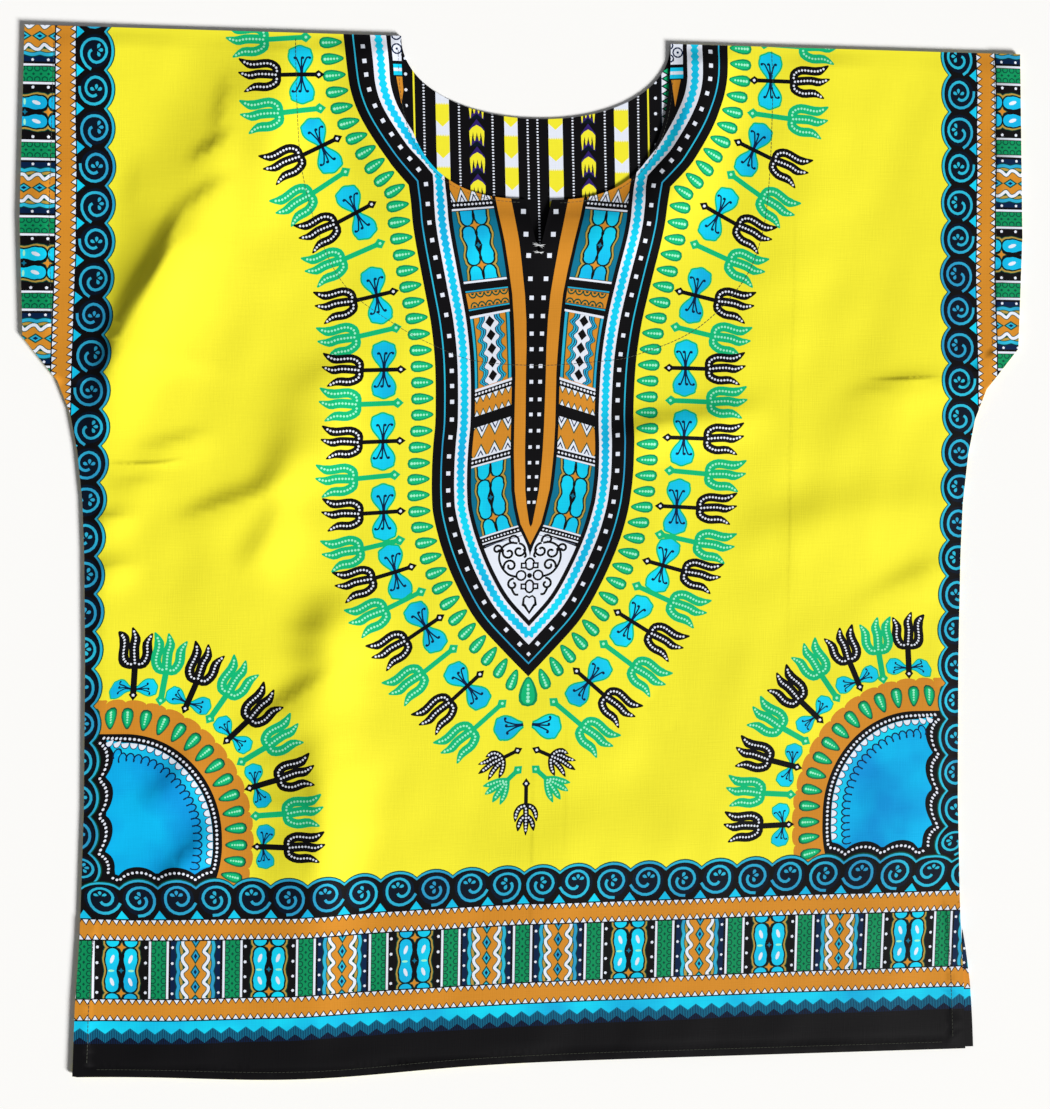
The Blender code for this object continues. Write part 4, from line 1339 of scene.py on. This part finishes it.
for draw in (rosettes, side_border, hem_border, ring_of_tridents, yoke_panels, yoke_tip, yoke_shoulders,
             yoke_edges):
    draw()
front_edge = front_outline()
printed = cut_cloth(front_edge, 0.006, crease_points())
plain = plain_cut(front_edge, 0.012)
front = panel("front", front_edge, printed, plain, front_top, front_lies, front_places)
cotton = printed_cotton("printed cotton")
front.data.materials.append(cotton)
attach(front, "root")
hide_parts("front_panel")


# ---------------------------------------------------------------------------
# The back panel: the same printed cotton, cut a little smaller so that the front covers it, with a shallow
# neck. It lies flat on the table under the front, sewn to it at the shoulders and sides. Of its print only
# the part behind the neck shows from above, and on its outer face a round yoke and the borders.
# ---------------------------------------------------------------------------
BACK_NECK_DEPTH = 0.059
BACK_NECK_FULLNESS = 2.1
BACK_INSET = 0.0008
BACK_SWING = 0.008  # how far its flap swings out at the right vent
BACK_SWING_FULLNESS = 0.6
# Its yoke's edge: height and half width, from the shoulder round to the middle line.
BACK_YOKE = flowing([(812, 148), (790, 147), (762, 145), (735, 138), (705, 122), (676, 96), (655, 64),
                    (645, 32), (642, 0), (645, -32)], 5)[:, ::-1]


def back_outline():
    """The front's outline, a little smaller, flared at the right vent and with a shallow neck."""
    def widen(sign, height):
        flap = BACK_SWING * np.sin(np.pi / 2 * np.clip(1 - height / VENT_TOP, 0, 1)) ** BACK_SWING_FULLNESS
        return -BACK_INSET + (flap if sign > 0 else 0.0 * height)
    return panel_outline(neckline(BACK_NECK_DEPTH, BACK_NECK_FULLNESS), widen, BACK_INSET)


def back_top(x, y):
    return CLOTH + 0.0 * x


def back_under(x, y):
    return 0.0 * x


def back_places(xyz, is_upper, middle):
    """The back's map: the outer face over most of the square, the inner in a narrow column, and the part of
    it that shows behind the neck enlarged above."""
    u, v = on_square(xyz)
    at_neck = is_upper & (np.abs(middle[:, 0]) < 0.112) & (middle[:, 1] > 0.664)
    u = np.where(is_upper, np.where(at_neck, (xyz[:, 0] + 0.122) * 1.1, 0.88 + 0.1 * u), 0.84 * u)
    return pairs(u, np.where(at_neck, 0.855 + (xyz[:, 1] - 0.658) * 1.06, 0.84 * v))


def neck_stripes():
    """The woven-look stripes behind the neck: dotted lines, yellow and white blocks, columns of arrowheads.
    They lean a little to the left."""
    foot, head = 560, 812
    first = len(marks)
    mark("black", box(-126, foot, 126, head))
    lows = {-6.3: 672, 1.3: 636}
    for x in (-85.1, -58.5, -33.1, -6.3, 1.3, 28.3, 53.3, 79.4):
        for y in np.arange(lows.get(x, 590), 800.0, 2.27):
            mark("white", disc(x, y, (0.95, 0.66), 6))
    for x, y0 in ((-98.4, 763.4), (93.0, 759.5)):
        for y in np.arange(y0 - 12 * 11.75, 800.0, 11.75):
            mark("white", disc(x, y, 1.3, 6))
    for x in (-92.6, 87.1):
        mark("yellow", box(x - 0.65, foot, x + 0.65, head))
    for left, right, y0 in ((-76.2, -66.1, 724.7), (-24.2, -14.0, 725.4), (9.6, 20.6, 723.8),
                            (60.5, 71.6, 721.7)):
        mark("white", box(left, foot, right, head))
        for y in np.arange(y0 - 7 * 23.7, head, 23.7):
            high = y + 16.4 + 1.6 * (np.arange(17) % 2)
            block = between(np.linspace(left, right, 17), y + 4.8 * np.abs(np.linspace(-1, 1, 17)), high)
            mark("yellow", pairs(*block))
    for left, right, y0 in ((-50.9, -39.5, 726.6), (34.8, 45.8, 724.2)):
        middle, half = (left + right) / 2, (right - left) / 2

        def chevron(*heights):
            """A bent bar across the column, from the heights of its upper and then its lower corners."""
            return pairs([left, middle, right, right, middle, left], y + np.array(heights))

        for y in np.arange(y0 - 7 * 20.5, 830.0, 20.5):
            mark("purple", chevron(-3, 4.4, -3, -9, -1, -9))
            arrow = [(middle, y), (middle + half * 0.6, y - 1.9), (right, y - 4.6), (right, y - 9.0)]
            mark("yellow", arrow + [(left, y - 9.0), (left, y - 4.6), (middle - half * 0.6, y - 1.9)])
            mark("midnight", box(left, y - 16.0, right, y - 8.8))
            mark("purple", chevron(-16.5, -12.0, -16.5, -14, -9.5, -14))
            for part, reach in ((-0.82, 15.5), (-0.30, 12.0), (0.30, 12.0), (0.82, 15.5)):
                x = middle + part * half
                drop = np.array([8.9, 8.9, reach, reach])
                mark("yellow", pairs([x - 1.0, x + 1.0, x + 0.25, x - 0.25], y - drop))
            for x in (middle - 0.52 * half, middle, middle + 0.52 * half):
                mark("midnight", [(x - 0.55, y - 8.8), (x + 0.55, y - 8.8), (x, y - 5.4)])
    mark("midnight", box(97.0, 700, 103.8, 770))
    for y in np.arange(700.0, 766.0, 5.7):
        mark("white", [(98.0, y), (102.6, y + 2.6), (98.0, y + 5.2)])
        mark("green", [(103.4, y + 3.2), (99.4, y + 5.5), (103.4, y + 7.8)])
    for number, (dye, points) in enumerate(marks[first:], first):
        lean = -0.026 * (points[:, 1] - 708) - np.interp(points[:, 1], DRIFT_HEIGHT, DRIFT)
        marks[number] = (dye, points + pairs(lean, 1.2))


def back_yoke():
    """The round yoke behind the neck: the stripes in a banded half oval, with leaves and forks round it."""
    edge = yoke_side(0.0, BACK_YOKE)
    for (px, py), angle in zip(*along(beside(edge, RAIL), 12.5, 6.0)):
        if px > -2:
            leaf(px, py, angle + np.pi / 2)
    places, angles = along(beside(edge, 20.6), 28.4, 14.2)
    for k, ((px, py), out) in enumerate(zip(places, angles + np.pi / 2)):
        if k % 2:
            bells_on(px, py, out)
        trident(px, py, out, "black" if k % 2 else "green")
    mark("black", across_middle(edge))
    first = len(marks)
    neck_stripes()
    hole = across_middle(yoke_side(26.0, BACK_YOKE))
    marks[first:] = [stripe for stripe in marks[first:] if covered(stripe[1].mean(axis=0)[None], hole)[0]]
    for dye, outer, inner in (("black", 0.0, 17.4), ("sky", 6.0, 7.3), ("white", 17.2, 27.0),
                              ("cyan", 19.6, 25.2), ("black", 27.0, 29.0)):
        yoke_band(dye, outer, inner, BACK_YOKE)


back_edge = back_outline()
marks.clear()
for draw in (rosettes, side_border, hem_border, back_yoke):
    draw()
outer = cut_cloth(back_edge, 0.008)
# on the inner face only what shows: the hem's border beside the right vent, and the stripes
marks.clear()
hem_border()
marks[:] = [(dye, points + (9.0, -2.5)) for dye, points in marks if points[:, 0].max() > 326.0]
neck_stripes()
inner = cut_cloth(back_edge, 0.012)
back = panel("back", back_edge, inner, outer, back_top, back_under, back_places)
back.data.materials.append(cotton)
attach(back, "root")
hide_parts("back_panel")


# ---------------------------------------------------------------------------
# The stitching: runs of dark machine stitches in cotton thread. They hold the neck facing, the hems of the
# sleeves, vents and bottom edge, and the turned edge of the neck.
# ---------------------------------------------------------------------------
STITCH_PITCH, STITCH_LENGTH, STITCH_WIDTH, STITCH_HEIGHT = 0.0030, 0.0027, 0.00045, 0.00022
DARK_THREAD = (0.045, 0.05, 0.035)
FACING = [(-182, 787), (-181, 737), (-177, 687), (-163, 637), (-143, 601), (-106, 574), (-77, 559),
          (-46, 548), (0, 545), (45, 548), (79, 554), (125, 574), (160, 609), (175, 643), (181, 685),
          (183, 751), (182, 787)]


def stitch_rows():
    """The seams' lines in metres, with the same gap from the edge all along."""
    rows = [flowing(FACING, 8) / 1000]
    sleeve = np.arange(0.566, 0.789, 0.01)
    vent = np.arange(0.010, 0.118, 0.01)
    across = np.arange(-0.335, 0.336, 0.01)
    for sign in (-1, 1):
        rows.append(pairs(sign * (half_width(sleeve) - 0.0215), sleeve))
        rows.append(pairs(sign * (half_width(vent) - 0.0105), vent))
    rows.append(pairs(across, hem_height(across) + 0.006))
    neck = neckline(FRONT_NECK_DEPTH, FRONT_NECK_FULLNESS)
    neck = neck[neck[:, 1] < LENGTH - 0.002]
    rows.append(beside(neck[neck[:, 0] > SLIT_X + SLIT_HALF_WIDTH + 0.002], 0.0024))
    rows.append(beside(neck[neck[:, 0] < SLIT_X - SLIT_HALF_WIDTH - 0.002], 0.0024))
    return rows


def stitches(rows, pitch, length, width, height):
    """One small spindle for each stitch, a four-sided tube with pointed ends, half sunk in the cloth."""
    found = [along(row, pitch, pitch / 2, 0.001) for row in rows]
    spots, turns = (np.concatenate(part) for part in zip(*found))
    ring = [(0.5, 0), (0, 1), (-0.5, 0), (0, -1)]
    spindle = [(-0.5, 0, 0)] + [(u, v, w) for u in (-0.3, 0.3) for v, w in ring] + [(0.5, 0, 0)]
    spindle = np.array(spindle) * (length, width, height)
    faces = []
    for k in range(4):
        near, far, near_next, far_next = 1 + k, 5 + k, 1 + (k + 1) % 4, 5 + (k + 1) % 4
        faces += [(0, near_next, near), (9, far, far_next), (near, far_next, far),
                  (near, near_next, far_next)]
    c, s = np.cos(turns)[:, None], np.sin(turns)[:, None]
    x = spots[:, :1] + spindle[:, 0] * c - spindle[:, 1] * s
    y = spots[:, 1:] + spindle[:, 0] * s + spindle[:, 1] * c
    z = front_top(x.ravel(), y.ravel()).reshape(x.shape) + spindle[:, 2] + 0.00002
    verts = np.stack([x, y - CENTRE_Y, z], axis=2).reshape(-1, 3)
    faces = (np.array(faces)[None] + 10 * np.arange(len(spots))[:, None, None]).reshape(-1, 3)
    return verts, faces


def thread_piece(name, verts, faces, dye):
    """A piece made of stitches in one colour of thread, lighter and darker along its twist."""
    mesh = bpy.data.meshes.new(name)
    mesh.from_pydata(verts.tolist(), [], faces.tolist())
    mesh.update()
    piece = placed(name, mesh)
    thread = bpy.data.materials.new(name)
    thread.use_nodes = True
    place = add_node(thread, "TexCoord", {})["Object"]
    twist = add_node(thread, "TexNoise", {"Vector": place, "Scale": 900.0})["Fac"]
    shade = add_node(thread, "Mix", {"Factor": twist, "A": (*(np.array(dye) * 0.85), 1),
                                     "B": (*(np.array(dye) * 1.15), 1)}, data_type="RGBA")["Result"]
    add_node(thread, "Surface", {"Base Color": shade, "Roughness": 0.7})
    mesh.materials.append(thread)
    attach(piece, "root")


seams = stitches(stitch_rows(), STITCH_PITCH, STITCH_LENGTH, STITCH_WIDTH, STITCH_HEIGHT)
thread_piece("stitching", *seams, DARK_THREAD)


# ---------------------------------------------------------------------------
# The bar tack: a few strands of white thread sewn across the foot of the slit, in two crossed bundles, so
# that it can't tear further.
# ---------------------------------------------------------------------------
STRANDS = [(-3.1, 638.0, 6.3, 635.0), (-3.5, 637.0, 5.5, 636.2), (-2.1, 635.4, 6.9, 636.8),
           (-1.3, 638.6, 5.1, 633.8), (-2.5, 631.6, 5.7, 630.4), (-1.9, 630.4, 6.1, 631.2),
           (-0.7, 632.4, 4.5, 629.6)]
STRAND_THICK = 0.0005
WHITE_THREAD = (0.72, 0.74, 0.76)

tack_verts, tack_faces = [], []
for x0, y0, x1, y1 in STRANDS:
    strand = np.array([(x0, y0), (x1, y1)]) / 1000
    long = run_of(strand)[-1]
    verts, faces = stitches([strand], long, long, STRAND_THICK, STRAND_THICK)
    tack_faces.append(faces + 10 * len(tack_verts))
    tack_verts.append(verts)
thread_piece("bar_tack", np.concatenate(tack_verts), np.concatenate(tack_faces), WHITE_THREAD)


# ---------------------------------------------------------------------------
# The floor: a wide sheet of pale card, matt and very slightly uneven, that the shirt lies on.
# ---------------------------------------------------------------------------
FLOOR_HALF, FLOOR_Z = 6, -0.0003

floor_mesh = bpy.data.meshes.new("floor")
floor_mesh.from_pydata([(*corner, FLOOR_Z) for corner in square(0, 0, FLOOR_HALF)], [], [(0, 1, 2, 3)])
floor = placed("floor", floor_mesh)
card = bpy.data.materials.new("pale floor")
card.use_nodes = True
card_place = add_node(card, "TexCoord", {})["Object"]
grain = add_node(card, "TexNoise", {"Vector": card_place, "Scale": 3.0})["Fac"]
card_tone = add_node(card, "MapRange", {"Value": grain, "To Min": 0.925, "To Max": 0.935})["Result"]
add_node(card, "Surface", {"Base Color": card_tone, "Roughness": 0.9})
floor.data.materials.append(card)


# ---------------------------------------------------------------------------
# The light: one broad lamp low from the lower right, and a little light from all round.
# ---------------------------------------------------------------------------
sun = bpy.data.lights.new("key", "SUN")
sun.energy = 6.0
sun.angle = np.radians(18)
sun.color = (1.0, 0.99, 0.965)
key = placed("key", sun)
key.matrix_world = Vector((1.0, -0.88, 0.68)).to_track_quat("Z", "Y").to_matrix().to_4x4()
world = bpy.data.worlds.new("studio")
world.use_nodes = True
world.node_tree.nodes["Background"].inputs["Color"].default_value = (1.0, 1.0, 1.0, 1)
world.node_tree.nodes["Background"].inputs["Strength"].default_value = 0.17
bpy.context.scene.world = world
bpy.context.scene.view_settings.view_transform = "Standard"
